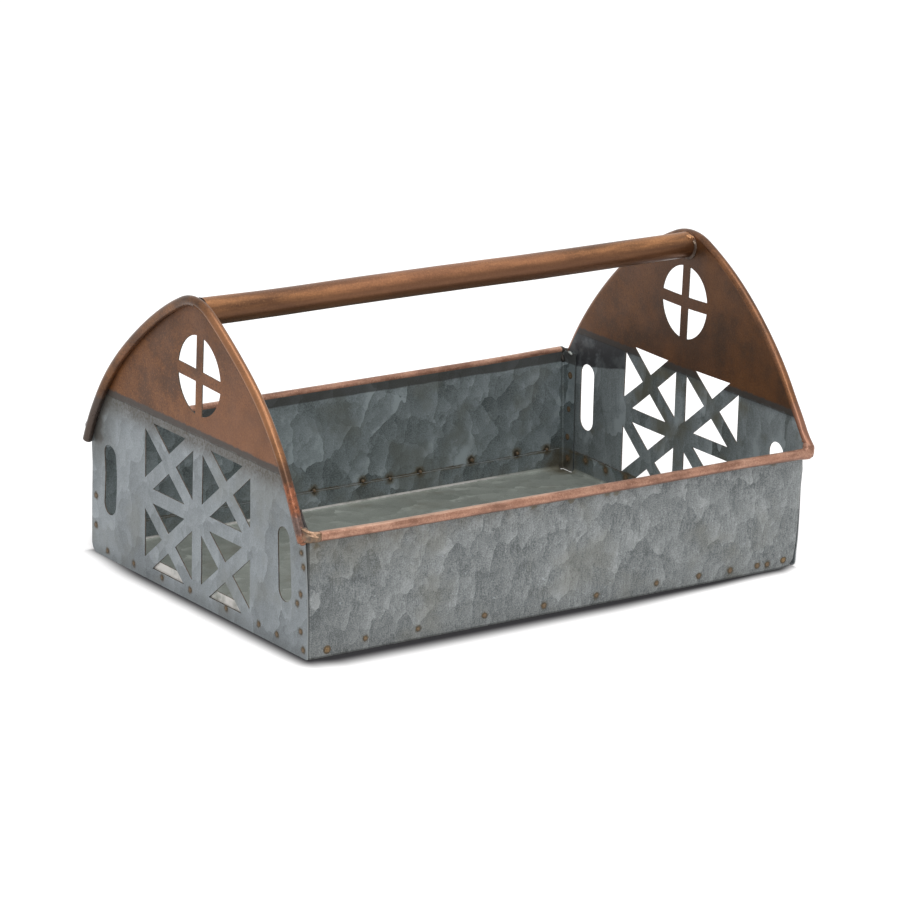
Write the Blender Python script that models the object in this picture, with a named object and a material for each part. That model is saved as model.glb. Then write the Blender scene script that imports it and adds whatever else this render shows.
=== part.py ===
# Galvanized caddy tray: a floor pan and two flanged long walls between two barn-gable
# end panels, with rolled wired rims and a welded tube handle under the gable peaks.
# +X runs along the handle, the front wall faces -Y, and the tray stands on Z = 0.
import math

import bmesh
import bpy
from mathutils import Matrix, Vector

MM = 0.001

# Sheet metal and joints, shared by every piece
SHEET = 0.7 * MM            # thickness of all the sheet
SEAM = 0.3 * MM             # air between neighbouring pieces
CUT_OVERRUN = 4 * MM        # how far a cutter passes the faces it cuts

# The box
TRAY_LENGTH = 368 * MM      # over the outer faces of the end panels
TRAY_WIDTH = 250 * MM       # over the outer faces of the long walls

# Rolled rims: the sheet is turned outwards round a wire
RIM_RADIUS = 3.1 * MM       # outside radius of a rolled edge
RIM_HEIGHT = 76.9 * MM      # long walls' height, up to the middle of their rims
RIM_TURN = math.radians(310)
RIM_STEPS = 10
CAP_RISE = 1.5 * MM         # rounded solder cap on a rolled edge's free end
CAP_STEPS = 4

# Long walls
WALL_LEAN = 2.5 * MM        # the wall's top stands this far outside its foot
WALL_FLANGE = 12 * MM       # end flange, lying inside the end panel
WALL_FLANGE_DROP = 4.2 * MM # the flange stops this far under the wall's top
WALL_BEND = 2 * MM          # outside radius of the bend
BEND_STEPS = 4

# Floor pan
PAN_FLANGE_TOP = 14 * MM    # top edge of the upturned flange
PAN_BEND = 3 * MM           # outside radius of the bend
PAN_RELIEF = 1.5 * MM       # notch beside each flange at the pan's corners

# End panels: upright sides, then a pointed arch with a round peak
PANEL_CORNER = 4 * MM       # radius of the bottom corners
EAVE_DROP = 3.6 * MM        # eaves below the long walls' top
EAVE_OVERHANG = 1.2 * MM    # rolled edge's centre line outside the panel's upright edge
GABLE_RISE = 116.2 * MM     # peak of the rolled edge's centre line above the eaves
ARCH_RADIUS = 225 * MM
PEAK_RADIUS = 38 * MM
FOOT_RISE = 30 * MM         # height over which the right arch spreads to land on the front rim
CORNER_STEPS = 3
ARCH_STEPS = 18
PEAK_STEPS = 4

# Barn-door cut-outs: two by two panes, each braced by an X
DOOR_WIDTH = 121.4 * MM
DOOR_SILL = 8.3 * MM
DOOR_HEIGHT = 93.1 * MM
POST_WIDTH = 10.8 * MM      # upright between the panes
RAIL_WIDTH = 9.2 * MM       # rail between the panes
BRACE_WIDTH = 9.8 * MM      # each arm of an X
BRACE_LIFT = 1 * MM         # an arm's centre line passes this far above its pane's corner

# Round window with a cross in it
WINDOW_RADIUS = 24.6 * MM
WINDOW_DROP = 6.4 * MM      # window's top under the handle tube
MULLION_WIDTH = 7.4 * MM
WINDOW_STEPS = 10           # in each quarter

# Upright slots beside the door
SLOT_INSET = 24.6 * MM      # slot's centre line from the panel's upright edge
SLOT_WIDTH = 14.4 * MM
SLOT_BOTTOM = 29.6 * MM
SLOT_LENGTH = 46.5 * MM
SLOT_STEPS = 8

# Handle tube
TUBE_RADIUS = 8.2 * MM
TUBE_DROP = 1.1 * MM        # tube's top under the outside of the arches' peaks
TUBE_WALL = 1.2 * MM
TUBE_STEPS = 32

# Welds
TUBE_WELD = 0.8 * MM        # leg of the fillet round the tube's end
TUBE_WELD_BELLY_SHARE = 0.62
CORNER_WELD = 0.6 * MM      # thickness of the metal laid over a rim's end
CORNER_WELD_CAP = 1.2 * MM  # thickness of its cap
CORNER_WELD_REACH = 10 * MM # how far it runs along the rim
CORNER_WELD_EDGE_SHARE = 0.3
FOOT_WELD = 0.5 * MM        # thickness of the collar round the foot on the front rim
FOOT_WELD_RISE = 2.4 * MM   # the collar's height on the foot
WELD_STEPS = 20

# Worked out from the sizes above
panel_outside = TRAY_LENGTH / 2
panel_middle = panel_outside - SHEET / 2
panel_inside = panel_outside - SHEET
wall_outside = TRAY_WIDTH / 2
wall_middle = wall_outside - SHEET / 2
wall_inside = wall_outside - SHEET
box_end = panel_inside - SEAM              # where pieces between the end panels stop
rim_bend = RIM_RADIUS - SHEET / 2          # bend radius at the middle of the sheet
wall_up = Vector((WALL_LEAN, RIM_HEIGHT)).normalized()        # (outward, up) along a wall
wall_out = Vector((wall_up.y, -wall_up.x))                    # square to it, outwards
rim_centre = Vector((wall_middle + WALL_LEAN, RIM_HEIGHT)) + wall_out * rim_bend
rim_stop = box_end - CORNER_WELD_CAP - SEAM                   # rims stop inside their welds
wire_radius = RIM_RADIUS - SHEET - SEAM
bead_middle = panel_middle + rim_bend                         # arches' rolled edges
rim_end = bead_middle + RIM_RADIUS - SEAM - CAP_RISE          # front rim, under the right arch
eave_height = RIM_HEIGHT - EAVE_DROP
eave_span = wall_outside + EAVE_OVERHANG
foot_height = rim_centre.y + RIM_RADIUS + SEAM
peak_height = eave_height + GABLE_RISE
handle_height = peak_height + RIM_RADIUS - TUBE_DROP - TUBE_RADIUS


# Scene and objects

def clear_scene():
    for old in list(bpy.data.objects):
        bpy.data.objects.remove(old, do_unlink=True)


def metal(name, colour, roughness):
    material = bpy.data.materials.new(name)
    material.use_nodes = True
    shader = material.node_tree.nodes["Principled BSDF"]
    shader.inputs["Base Color"].default_value = (*colour, 1.0)
    shader.inputs["Roughness"].default_value = roughness
    shader.inputs["Metallic"].default_value = 1.0
    material.diffuse_color = (*colour, 1.0)
    return material


def add_object(name, bm, material):
    bmesh.ops.recalc_face_normals(bm, faces=bm.faces)
    mesh = bpy.data.meshes.new(name)
    bm.to_mesh(mesh)
    bm.free()
    mesh.shade_smooth()
    mesh.set_sharp_from_angle(angle=math.radians(35))
    mesh.materials.append(material)
    thing = bpy.data.objects.new(name, mesh)
    bpy.context.collection.objects.link(thing)
    return thing


def give_thickness(thing):
    # Every sheet is drawn at the middle of its thickness.
    solidify = thing.modifiers.new("sheet", "SOLIDIFY")
    solidify.thickness = SHEET
    solidify.offset = 0
    solidify.use_even_offset = True
    solidify.use_quality_normals = True


def cut_with(thing, cutter):
    cutter.hide_render = True
    cutter.display_type = "WIRE"
    cut = thing.modifiers.new("cut", "BOOLEAN")
    cut.operation = "DIFFERENCE"
    cut.object = cutter


# Folding sheet

def extrude_row(bm, row, places):
    # Extrudes the edges that join a row of vertices, and puts the new row in place.
    edges = [bm.edges.get(pair) for pair in zip(row, row[1:])]
    new = set(bmesh.ops.extrude_edge_only(bm, edges=edges)["geom"])
    after = []
    for vert, place in zip(row, places):
        partner = next(e.other_vert(vert) for e in vert.link_edges if e.other_vert(vert) in new)
        partner.co = place
        after.append(partner)
    return after


def bend_row(bm, row, radius, turn, steps, along, towards):
    # Bends the sheet on from a row: along is each vertex's way in the sheet's plane, and
    # towards is the side that the sheet bends to.
    starts = [vert.co.copy() for vert in row]
    for step in range(1, steps + 1):
        angle = turn * step / steps
        ahead = radius * math.sin(angle)
        aside = radius * (1 - math.cos(angle))
        places = [s + a * ahead + t * aside for s, a, t in zip(starts, along, towards)]
        row = extrude_row(bm, row, places)
    return row


def shift_row(bm, row, move):
    return extrude_row(bm, row, [vert.co + move for vert in row])


# Solids turned about an axis parallel to X

def turned(bm, profile, centre, steps):
    # The profile is a closed line of (x, radius); one that touches the axis is closed there.
    verts = [bm.verts.new((x, centre[0], centre[1] + radius)) for x, radius in profile]
    edges = [bm.edges.new(pair) for pair in zip(verts, verts[1:])]
    if min(radius for x, radius in profile) > 0:
        edges.append(bm.edges.new((verts[-1], verts[0])))
    bmesh.ops.spin(bm, geom=verts + edges, cent=(0, *centre), axis=(1, 0, 0),
                   angle=2 * math.pi, steps=steps, use_merge=True)
    bmesh.ops.remove_doubles(bm, verts=bm.verts, dist=SHEET / 1000)


# Floor pan

def floor_pan(material):
    bottom = SHEET / 2
    bend = PAN_BEND - SHEET / 2
    flat_x = box_end - PAN_BEND
    flat_y = wall_inside - SEAM - PAN_BEND
    side_x = flat_x - PAN_RELIEF
    side_y = wall_outside - WALL_FLANGE - PAN_RELIEF
    corner = [(side_x, flat_y), (flat_x, flat_y), (flat_x, side_y)]
    outline = corner + [(x, -y) for x, y in reversed(corner)]
    outline += [(-x, -y) for x, y in corner] + [(-x, y) for x, y in reversed(corner)]
    bm = bmesh.new()
    verts = [bm.verts.new((x, y, bottom)) for x, y in outline]
    bm.faces.new(verts)
    up = Vector((0, 0, 1))
    for first, second, out in ((2, 3, (1, 0, 0)), (5, 6, (0, -1, 0)),
                               (8, 9, (-1, 0, 0)), (11, 0, (0, 1, 0))):
        row = [verts[first], verts[second]]
        row = bend_row(bm, row, bend, math.pi / 2, BEND_STEPS, [Vector(out)] * 2, [up] * 2)
        shift_row(bm, row, up * (PAN_FLANGE_TOP - row[0].co.z))
    pan = add_object("floor_pan", bm, material)
    give_thickness(pan)


# Long walls and the wires in their rims

def long_wall(name, side, rim_left, rim_right, material):
    # side is -1 at the front and 1 at the back. Points of the wall are (x, outward, up).
    def place(x, outward, up):
        return Vector((x, side * outward, up))

    def on_wall(x, up):
        return place(x, wall_middle + WALL_LEAN * up / RIM_HEIGHT, up)

    bend = WALL_BEND - SHEET / 2
    bend_x = box_end - WALL_BEND
    flange_up = RIM_HEIGHT - WALL_FLANGE_DROP
    bm = bmesh.new()
    foot = [bm.verts.new(on_wall(x, 0)) for x in (-bend_x, bend_x)]
    bm.edges.new(foot)
    flange_top = extrude_row(bm, foot, [on_wall(x, flange_up) for x in (-bend_x, bend_x)])
    top = extrude_row(bm, flange_top, [on_wall(x, RIM_HEIGHT) for x in (-bend_x, bend_x)])
    ends = [bm.verts.new(on_wall(x, RIM_HEIGHT)) for x in (rim_left, rim_right)]
    bm.edges.new((ends[0], top[0]))
    bm.edges.new((top[1], ends[1]))
    rim = [ends[0], *top, ends[1]]
    bend_row(bm, rim, rim_bend, RIM_TURN, RIM_STEPS,
             [place(0, *wall_up)] * len(rim), [place(0, *wall_out)] * len(rim))
    for end, way in ((0, -1), (1, 1)):
        row = [foot[end], flange_top[end]]
        along = [Vector((way, 0, 0))] * 2
        inward = [place(0, -1, 0)] * 2
        row = bend_row(bm, row, bend, math.pi / 2, BEND_STEPS, along, inward)
        edge = wall_outside - WALL_FLANGE
        extrude_row(bm, row, [place(vert.co.x, edge, vert.co.z) for vert in row])
    wall = add_object(name, bm, material)
    give_thickness(wall)


def wire(name, stations, material):
    # A round wire through stations of (place, radius), with filled ends.
    curve = bpy.data.curves.new(name, "CURVE")
    curve.dimensions = "3D"
    curve.bevel_depth = 1
    curve.bevel_resolution = 2
    curve.use_fill_caps = True
    spline = curve.splines.new("POLY")
    spline.points.add(len(stations) - 1)
    for point, (place, radius) in zip(spline.points, stations):
        point.co = (*place, 1)
        point.radius = radius
    curve.materials.append(material)
    thing = bpy.data.objects.new(name, curve)
    bpy.context.collection.objects.link(thing)


def solder_cap(tip, previous, radius):
    # Stations that close a rolled edge's free end with a rounded cap.
    way = (tip - previous).normalized()
    cap = [(tip + way * SEAM / 2, wire_radius)]
    for step in range(CAP_STEPS):
        angle = math.pi / 2 * step / CAP_STEPS
        rise = SEAM + CAP_RISE * math.sin(angle)
        cap.append((tip + way * rise, radius * math.cos(angle)))
    return cap


def rim_wire(name, side, left, right, capped, material):
    ends = [Vector((x, side * rim_centre.x, rim_centre.y)) for x in (left, right)]
    stations = [(place, wire_radius) for place in ends]
    if capped:
        stations += solder_cap(ends[1], ends[0], RIM_RADIUS)
    wire(name, stations, material)


# End panels

def arch_centre():
    # Centre of the back half's arc: it passes the eave and touches the peak's circle.
    eave = Vector((eave_span, eave_height))
    peak = Vector((0, peak_height - PEAK_RADIUS))
    way = peak - eave
    inner = ARCH_RADIUS - PEAK_RADIUS
    ahead = (ARCH_RADIUS ** 2 - inner ** 2 + way.length_squared) / (2 * way.length)
    aside = math.sqrt(ARCH_RADIUS ** 2 - ahead ** 2)
    way.normalize()
    return eave + way * ahead + Vector((-way.y, way.x)) * aside


def half_arch(end_height, spread):
    # (y, z) points from the given height up to the peak. Under FOOT_RISE from the foot's
    # end, the edge leaves the arc and moves outwards, by spread at the end.
    centre = arch_centre()
    peak = Vector((0, peak_height - PEAK_RADIUS))
    join = math.atan2(peak.y - centre.y, peak.x - centre.x)
    start = math.asin((end_height - centre.y) / ARCH_RADIUS)
    points = []
    for step in range(ARCH_STEPS + 1):
        angle = start + (join - start) * step / ARCH_STEPS
        point = centre + Vector((math.cos(angle), math.sin(angle))) * ARCH_RADIUS
        below = max(0, foot_height + FOOT_RISE - point.y) / FOOT_RISE
        point.x += spread * below ** 2
        points.append(point)
    for step in range(1, PEAK_STEPS + 1):
        angle = join + (math.pi / 2 - join) * step / PEAK_STEPS
        points.append(peak + Vector((math.cos(angle), math.sin(angle))) * PEAK_RADIUS)
    return points


def foot_spread():
    # How far the right arch's foot moves outwards to stand over the front rim's middle.
    centre = arch_centre()
    reach = math.sqrt(ARCH_RADIUS ** 2 - (foot_height - centre.y) ** 2)
    return rim_centre.x - centre.x - reach


def arch(front_height, back_height, front_spread):
    # (point, outward normal) pairs of the whole arch, from the front (-Y) to the back.
    front = [Vector((-point.x, point.y)) for point in half_arch(front_height, front_spread)]
    points = front + list(reversed(half_arch(back_height, 0)))[1:]
    edge = []
    for number, point in enumerate(points):
        before = points[max(number - 1, 0)]
        after = points[min(number + 1, len(points) - 1)]
        way = (after - before).normalized()
        edge.append((point, Vector((-way.y, way.x))))
    return edge


def brace_holes(low_y, high_y, low_z, high_z):
    # The four triangles that an X of braces leaves in one pane.
    half_y, half_z = (high_y - low_y) / 2, (high_z - low_z) / 2
    mid_y, mid_z = (low_y + high_y) / 2, (low_z + high_z) / 2
    slope = (half_z + BRACE_LIFT) / half_y
    arm_z = BRACE_WIDTH / 2 * math.hypot(1, slope)     # half an arm, measured upright
    arm_y = arm_z / slope
    tip_z = slope * half_y - arm_z
    tip_y = (half_z - arm_z) / slope
    return [
        [(low_y, mid_z - tip_z), (low_y, mid_z + tip_z), (mid_y - arm_y, mid_z)],
        [(high_y, mid_z + tip_z), (high_y, mid_z - tip_z), (mid_y + arm_y, mid_z)],
        [(mid_y - tip_y, high_z), (mid_y + tip_y, high_z), (mid_y, mid_z + arm_z)],
        [(mid_y + tip_y, low_z), (mid_y - tip_y, low_z), (mid_y, mid_z - arm_z)],
    ]


def door_holes():
    post, rail = POST_WIDTH / 2, RAIL_WIDTH / 2
    middle = DOOR_SILL + DOOR_HEIGHT / 2
    holes = []
    for low_y, high_y in ((-DOOR_WIDTH / 2, -post), (post, DOOR_WIDTH / 2)):
        holes += brace_holes(low_y, high_y, DOOR_SILL, middle - rail)
        holes += brace_holes(low_y, high_y, middle + rail, DOOR_SILL + DOOR_HEIGHT)
    return holes


def window_holes():
    # Four quarters of a disc, parted by the cross.
    height = handle_height - TUBE_RADIUS - WINDOW_DROP - WINDOW_RADIUS
    half = MULLION_WIDTH / 2
    first = math.asin(half / WINDOW_RADIUS)
    holes = []
    for y_way, z_way in ((1, 1), (-1, 1), (-1, -1), (1, -1)):
        hole = [(y_way * half, height + z_way * half)]
        for step in range(WINDOW_STEPS + 1):
            angle = first + (math.pi / 2 - 2 * first) * step / WINDOW_STEPS
            hole.append((y_way * WINDOW_RADIUS * math.cos(angle),
                         height + z_way * WINDOW_RADIUS * math.sin(angle)))
        holes.append(hole)
    return holes


def slot_holes():
    radius = SLOT_WIDTH / 2
    low, high = SLOT_BOTTOM + radius, SLOT_BOTTOM + SLOT_LENGTH - radius
    holes = []
    for side in (-1, 1):
        middle = side * (wall_outside - SLOT_INSET)
        hole = []
        for centre, begin in ((high, 0), (low, math.pi)):
            for step in range(SLOT_STEPS + 1):
                angle = begin + math.pi * step / SLOT_STEPS
                hole.append((middle + radius * math.cos(angle), centre + radius * math.sin(angle)))
        holes.append(hole)
    return holes


def hole_cutter(name, end):
    # One prism for each cut-out, passing right through the sheet.
    bm = bmesh.new()
    for hole in door_holes() + window_holes() + slot_holes():
        near = end * panel_middle - CUT_OVERRUN
        face = bm.faces.new([bm.verts.new((near, y, z)) for y, z in hole])
        prism = bmesh.ops.extrude_face_region(bm, geom=[face])["geom"]
        moved = [part for part in prism if isinstance(part, bmesh.types.BMVert)]
        bmesh.ops.translate(bm, verts=moved, vec=(2 * CUT_OVERRUN, 0, 0))
    return add_object(name, bm, bpy.data.materials["cutter"])


def rim_room(name, near):
    # Room round the front rim, which runs on under the right arch's foot.
    bm = bmesh.new()
    far = bead_middle + RIM_RADIUS + CUT_OVERRUN
    radius = RIM_RADIUS + SEAM
    turned(bm, [(near, 0), (near, radius), (far, radius), (far, 0)],
           (-rim_centre.x, rim_centre.y), WELD_STEPS)
    return add_object(name, bm, bpy.data.materials["cutter"])


def panel_side(edge_end):
    # (y, z) points up one upright side, from the bottom corner to the rolled edge's ear.
    side = math.copysign(1, edge_end.x)
    points = []
    for step in range(CORNER_STEPS + 1):
        angle = math.pi / 2 * step / CORNER_STEPS
        points.append(Vector((side * (wall_outside - PANEL_CORNER * (1 - math.sin(angle))),
                              PANEL_CORNER * (1 - math.cos(angle)))))
    ear = abs(edge_end.x) - wall_outside
    points.append(Vector((side * wall_outside, edge_end.y - ear)))
    return points


def end_panel(name, end, front_height, front_spread, material):
    # end is -1 at the left and 1 at the right; the rolled edge stops at front_height in front.
    edge = arch(front_height, eave_height, front_spread)
    x = end * panel_middle
    bm = bmesh.new()
    before = [bm.verts.new((x, *point)) for point in panel_side(edge[0][0])]
    after = [bm.verts.new((x, *point)) for point in reversed(panel_side(edge[-1][0]))]
    rolled = [bm.verts.new((x, *point)) for point, normal in edge]
    bm.faces.new(before + rolled + after)
    outward = [Vector((end, 0, 0))] * len(rolled)
    along = [Vector((0, *normal)) for point, normal in edge]
    bend_row(bm, rolled, rim_bend, RIM_TURN, RIM_STEPS, along, outward)
    panel = add_object(name, bm, material)
    give_thickness(panel)
    cut_with(panel, hole_cutter(name + "_holes", end))
    return panel


def arch_wire(name, end, front_height, front_spread, capped_front, material):
    # The wire in an arch's rolled edge. Its cap at a free eave is narrower than the roll, clear
    # of the sheet's upright edge.
    edge = arch(front_height, eave_height, front_spread)
    places = [Vector((end * bead_middle, *point)) for point, normal in edge]
    stations = [(place, wire_radius) for place in places]
    stations += solder_cap(places[-1], places[-2], wire_radius)
    if capped_front:
        stations = solder_cap(places[0], places[1], wire_radius)[::-1] + stations
    wire(name, stations, material)


# Handle

def handle_tube(material):
    bore = TUBE_RADIUS - TUBE_WALL
    bm = bmesh.new()
    turned(bm, [(-box_end, bore), (-box_end, TUBE_RADIUS), (box_end, TUBE_RADIUS),
                (box_end, bore)], (0, handle_height), TUBE_STEPS)
    add_object("handle_tube", bm, material)


def handle_weld(name, end, material):
    seat = TUBE_RADIUS + SEAM
    belly = TUBE_WELD * TUBE_WELD_BELLY_SHARE
    profile = [(box_end, seat), (box_end, seat + TUBE_WELD),
               (box_end - belly, seat + belly), (box_end - TUBE_WELD, seat)]
    bm = bmesh.new()
    turned(bm, [(end * x, radius) for x, radius in profile], (0, handle_height), TUBE_STEPS)
    add_object(name, bm, material)


# Corner welds, where a long rim meets an arch's rolled edge

def box_cutter(name, low, high):
    bm = bmesh.new()
    bmesh.ops.create_cube(bm, size=1)
    size = high - low
    bmesh.ops.transform(bm, verts=bm.verts, matrix=Matrix.LocRotScale((low + high) / 2, None, size))
    return add_object(name, bm, bpy.data.materials["cutter"])


def corner_weld(name, side, end, material):
    # A capped sleeve of weld metal over a rim that stops against an end panel, left open
    # below and inside the rim's centre line, where the wall stands.
    seat = RIM_RADIUS + SEAM
    outside = seat + CORNER_WELD
    thin = seat + CORNER_WELD * CORNER_WELD_EDGE_SHARE
    cap = box_end - CORNER_WELD_CAP
    back = box_end - CORNER_WELD_REACH
    profile = [(box_end, 0), (box_end, seat), (cap, outside), (back, thin), (back, seat),
               (cap, seat), (cap, 0)]
    bm = bmesh.new()
    turned(bm, [(end * x, radius) for x, radius in profile], (side * rim_centre.x, rim_centre.y),
           WELD_STEPS)
    weld = add_object(name, bm, material)
    depth = outside + CUT_OVERRUN
    xs = sorted((end * (back - CUT_OVERRUN), end * (box_end + CUT_OVERRUN)))
    ys = sorted((side * rim_centre.x, side * (rim_centre.x - depth)))
    low = Vector((xs[0], ys[0], rim_centre.y - depth))
    high = Vector((xs[1], ys[1], rim_centre.y))
    cut_with(weld, box_cutter(name + "_wall_room", low, high))


def foot_weld(name, material):
    # A collar round the right arch's foot, standing on the front rim.
    edge = arch(foot_height, eave_height, foot_spread())
    foot = Vector((bead_middle, *edge[0][0]))
    way = Vector((0, *(edge[1][0] - edge[0][0]))).normalized()
    seat = RIM_RADIUS + SEAM
    bm = bmesh.new()
    turned(bm, [(-RIM_RADIUS, seat), (-RIM_RADIUS, seat + FOOT_WELD),
                (0, seat + FOOT_WELD), (FOOT_WELD_RISE, seat)], (0, 0), WELD_STEPS)
    turn = Vector((1, 0, 0)).rotation_difference(way).to_matrix().to_4x4()
    bmesh.ops.transform(bm, verts=bm.verts, matrix=Matrix.Translation(foot) @ turn)
    weld = add_object(name, bm, material)
    cut_with(weld, rim_room(name + "_rim_room", bead_middle - seat - FOOT_WELD - CUT_OVERRUN))
    reach = seat + FOOT_WELD + CUT_OVERRUN
    low = Vector((foot.x - reach, foot.y - reach, foot.z - reach))
    high = Vector((panel_outside + SEAM, foot.y + reach, foot.z + reach))
    cut_with(weld, box_cutter(name + "_panel_room", low, high))


def build():
    clear_scene()
    metal("cutter", (0.5, 0.5, 0.5), 0.5)
    zinc_floor = metal("zinc_floor", (0.42, 0.45, 0.43), 0.45)
    zinc_wall = metal("zinc_wall", (0.40, 0.43, 0.45), 0.45)
    zinc_panel = metal("zinc_panel", (0.45, 0.49, 0.52), 0.42)
    copper_tube = metal("copper_tube", (0.45, 0.25, 0.15), 0.38)
    copper_rim = metal("copper_rim", (0.62, 0.36, 0.26), 0.42)
    weld_metal = metal("weld_metal", (0.40, 0.33, 0.28), 0.5)

    floor_pan(zinc_floor)
    long_wall("front_wall", -1, -rim_stop, rim_end, zinc_wall)
    long_wall("back_wall", 1, -rim_stop, rim_stop, zinc_wall)
    rim_wire("front_rim_wire", -1, -rim_stop, rim_end, True, copper_rim)
    rim_wire("back_rim_wire", 1, -rim_stop, rim_stop, False, copper_rim)
    end_panel("left_end_panel", -1, eave_height, 0, zinc_panel)
    right = end_panel("right_end_panel", 1, foot_height, foot_spread(), zinc_panel)
    cut_with(right, rim_room("right_end_panel_rim_room", panel_inside - CUT_OVERRUN))
    arch_wire("left_arch_wire", -1, eave_height, 0, True, copper_rim)
    arch_wire("right_arch_wire", 1, foot_height + wire_radius, foot_spread(), False, copper_rim)
    handle_tube(copper_tube)
    handle_weld("left_handle_weld", -1, weld_metal)
    handle_weld("right_handle_weld", 1, weld_metal)
    corner_weld("front_left_corner_weld", -1, -1, weld_metal)
    corner_weld("back_left_corner_weld", 1, -1, weld_metal)
    corner_weld("back_right_corner_weld", 1, 1, weld_metal)
    foot_weld("front_right_corner_weld", weld_metal)


build()
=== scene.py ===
# The looks of the galvanized caddy tray: weathered zinc sheet, antiqued copper gables,
# rolled rims and tube handle, brazed corners and spot welds.
import math

import bmesh
import bpy
from mathutils import Matrix, Vector, noise


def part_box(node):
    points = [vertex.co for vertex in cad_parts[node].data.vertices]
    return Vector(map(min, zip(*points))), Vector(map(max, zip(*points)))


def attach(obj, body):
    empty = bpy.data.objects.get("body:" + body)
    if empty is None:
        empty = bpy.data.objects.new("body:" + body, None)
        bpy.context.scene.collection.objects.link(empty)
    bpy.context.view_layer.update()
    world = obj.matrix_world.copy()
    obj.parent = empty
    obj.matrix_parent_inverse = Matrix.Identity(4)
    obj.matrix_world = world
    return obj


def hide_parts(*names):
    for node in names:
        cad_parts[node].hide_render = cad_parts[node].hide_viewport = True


mm = 0.001
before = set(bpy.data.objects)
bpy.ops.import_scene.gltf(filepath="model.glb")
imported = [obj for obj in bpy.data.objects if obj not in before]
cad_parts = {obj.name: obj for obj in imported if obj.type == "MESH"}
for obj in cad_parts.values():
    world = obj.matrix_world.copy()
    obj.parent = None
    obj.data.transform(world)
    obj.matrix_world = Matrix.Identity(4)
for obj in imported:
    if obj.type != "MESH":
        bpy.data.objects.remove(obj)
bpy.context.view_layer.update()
print("frame loaded:", len(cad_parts), "nodes")

up = Vector((0, 0, 1))
alongX = Vector((1, 0, 0))

# Sizes that the pieces share, as in the frame
halfWidth = 125 * mm
sheet = {
    "thickness": 0.7 * mm,
    "seam": 0.3 * mm,
    "wave": 0.45 * mm,        # how far a large sheet bulges
    "waveLength": 90 * mm,
}
roll = {
    "radius": 3.1 * mm,       # outside of a rolled edge
    "turn": 316,              # degrees
    "steps": 26,
    "wire": 2.1 * mm,         # radius of the wire in it
    "wireSegments": 20,
    "domeSteps": 6,
}
pan = {
    "bend": 3 * mm,
    "bendSteps": 8,
    "flangeTop": 14 * mm,
    "relief": 1.5 * mm,
    "flangeGap": 13.5 * mm,   # the end flanges stop this far inside the walls
    "grid": (24, 16),
    "waveEnd": 0.97,          # the flat's share that may bulge
}
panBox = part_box("floor_pan")
panFlat = panBox[1] - Vector((pan["bend"], pan["bend"], 0))
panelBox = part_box("left_end_panel")
panelInside = -panelBox[1].x
panelMiddle = panelInside + sheet["thickness"] / 2
panelOutside = panelInside + sheet["thickness"]
boxEnd = panelInside - sheet["seam"]
rollMiddle = roll["radius"] - sheet["thickness"] / 2
beadMiddle = panelMiddle + rollMiddle
peakHeight = panelBox[1].z - roll["radius"]


# The real tray isn't quite true. Each row moves what lies near a place, in mm:
# (place, reach, move)
settles = [
    ((-186, -126, 82), 38, (-0.5, 3.9, -0.4)), ((-186, -95, 120), 42, (-0.2, 1.9, -0.5)),
    ((-186, -40, 178), 50, (0, -0.8, -3.1)), ((-186, 0, 195), 45, (0.1, 0.1, 2.4)),
    ((-186, 55, 165), 50, (0.2, -1, 1.5)), ((-186, 100, 120), 42, (-0.3, 2.4, 0.3)),
    ((-186, 125, 60), 38, (0.1, -0.3, 2.5)), ((-90, 0, 183), 70, (0, 0, 0.3)),
    ((90, 0, 183), 70, (0, 0, -0.9)), ((186, 0, 190), 50, (0.1, -1.5, -0.9)),
    ((186, -65, 155), 48, (-0.1, 1.6, 2.7)), ((186, -105, 115), 42, (0.1, -1.4, 1.1)),
    ((186, -128, 82), 42, (0, -0.3, 0)), ((184, -126, 40), 38, (0.1, -1.8, -2.5)),
    ((186, 70, 150), 48, (0.3, -2, 1.8)), ((184, 122, 82), 42, (-0.1, 0.9, 0)),
    ((184, 100, 45), 36, (0.1, 0.6, 3)), ((60, -130, 80), 100, (0, 0.1, -0.9)),
    ((-80, -130, 80), 100, (0, -0.2, 0.2)), ((-187, 126, 72), 10, (0, 0.5, -2.4)),
    ((-183, 101, 74), 18, (0, 3, -3.4)), ((-183, 101, 34), 18, (0, 3, -1.5)),
    ((186, -130, 88), 9, (0, 1.8, 0)), ((183, -126, 68), 7, (1.2, 0, 0)),
]
steadyHeight = 20 * mm        # below this the foot hardly moves
farReach = 2.5                # beyond so many reaches nothing moves


def settled(point):
    moved = point.copy()
    share = min(1, max(0, point.z) / steadyHeight)
    for place, reach, move in settles:
        off = (point - Vector(place) * mm).length / (reach * mm)
        if off < farReach:
            moved += Vector(move) * (mm * share * math.exp(-off * off))
    moved.z = max(moved.z, 0)
    return moved


# Shader maths

def colour(red, green, blue):
    # A colour given in screen values, 0 to 255, as Blender's linear light.
    def linear(level):
        level = level / 255
        return level / 12.92 if level <= 0.04045 else ((level + 0.055) / 1.055) ** 2.4
    return (linear(red), linear(green), linear(blue), 1)


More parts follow.
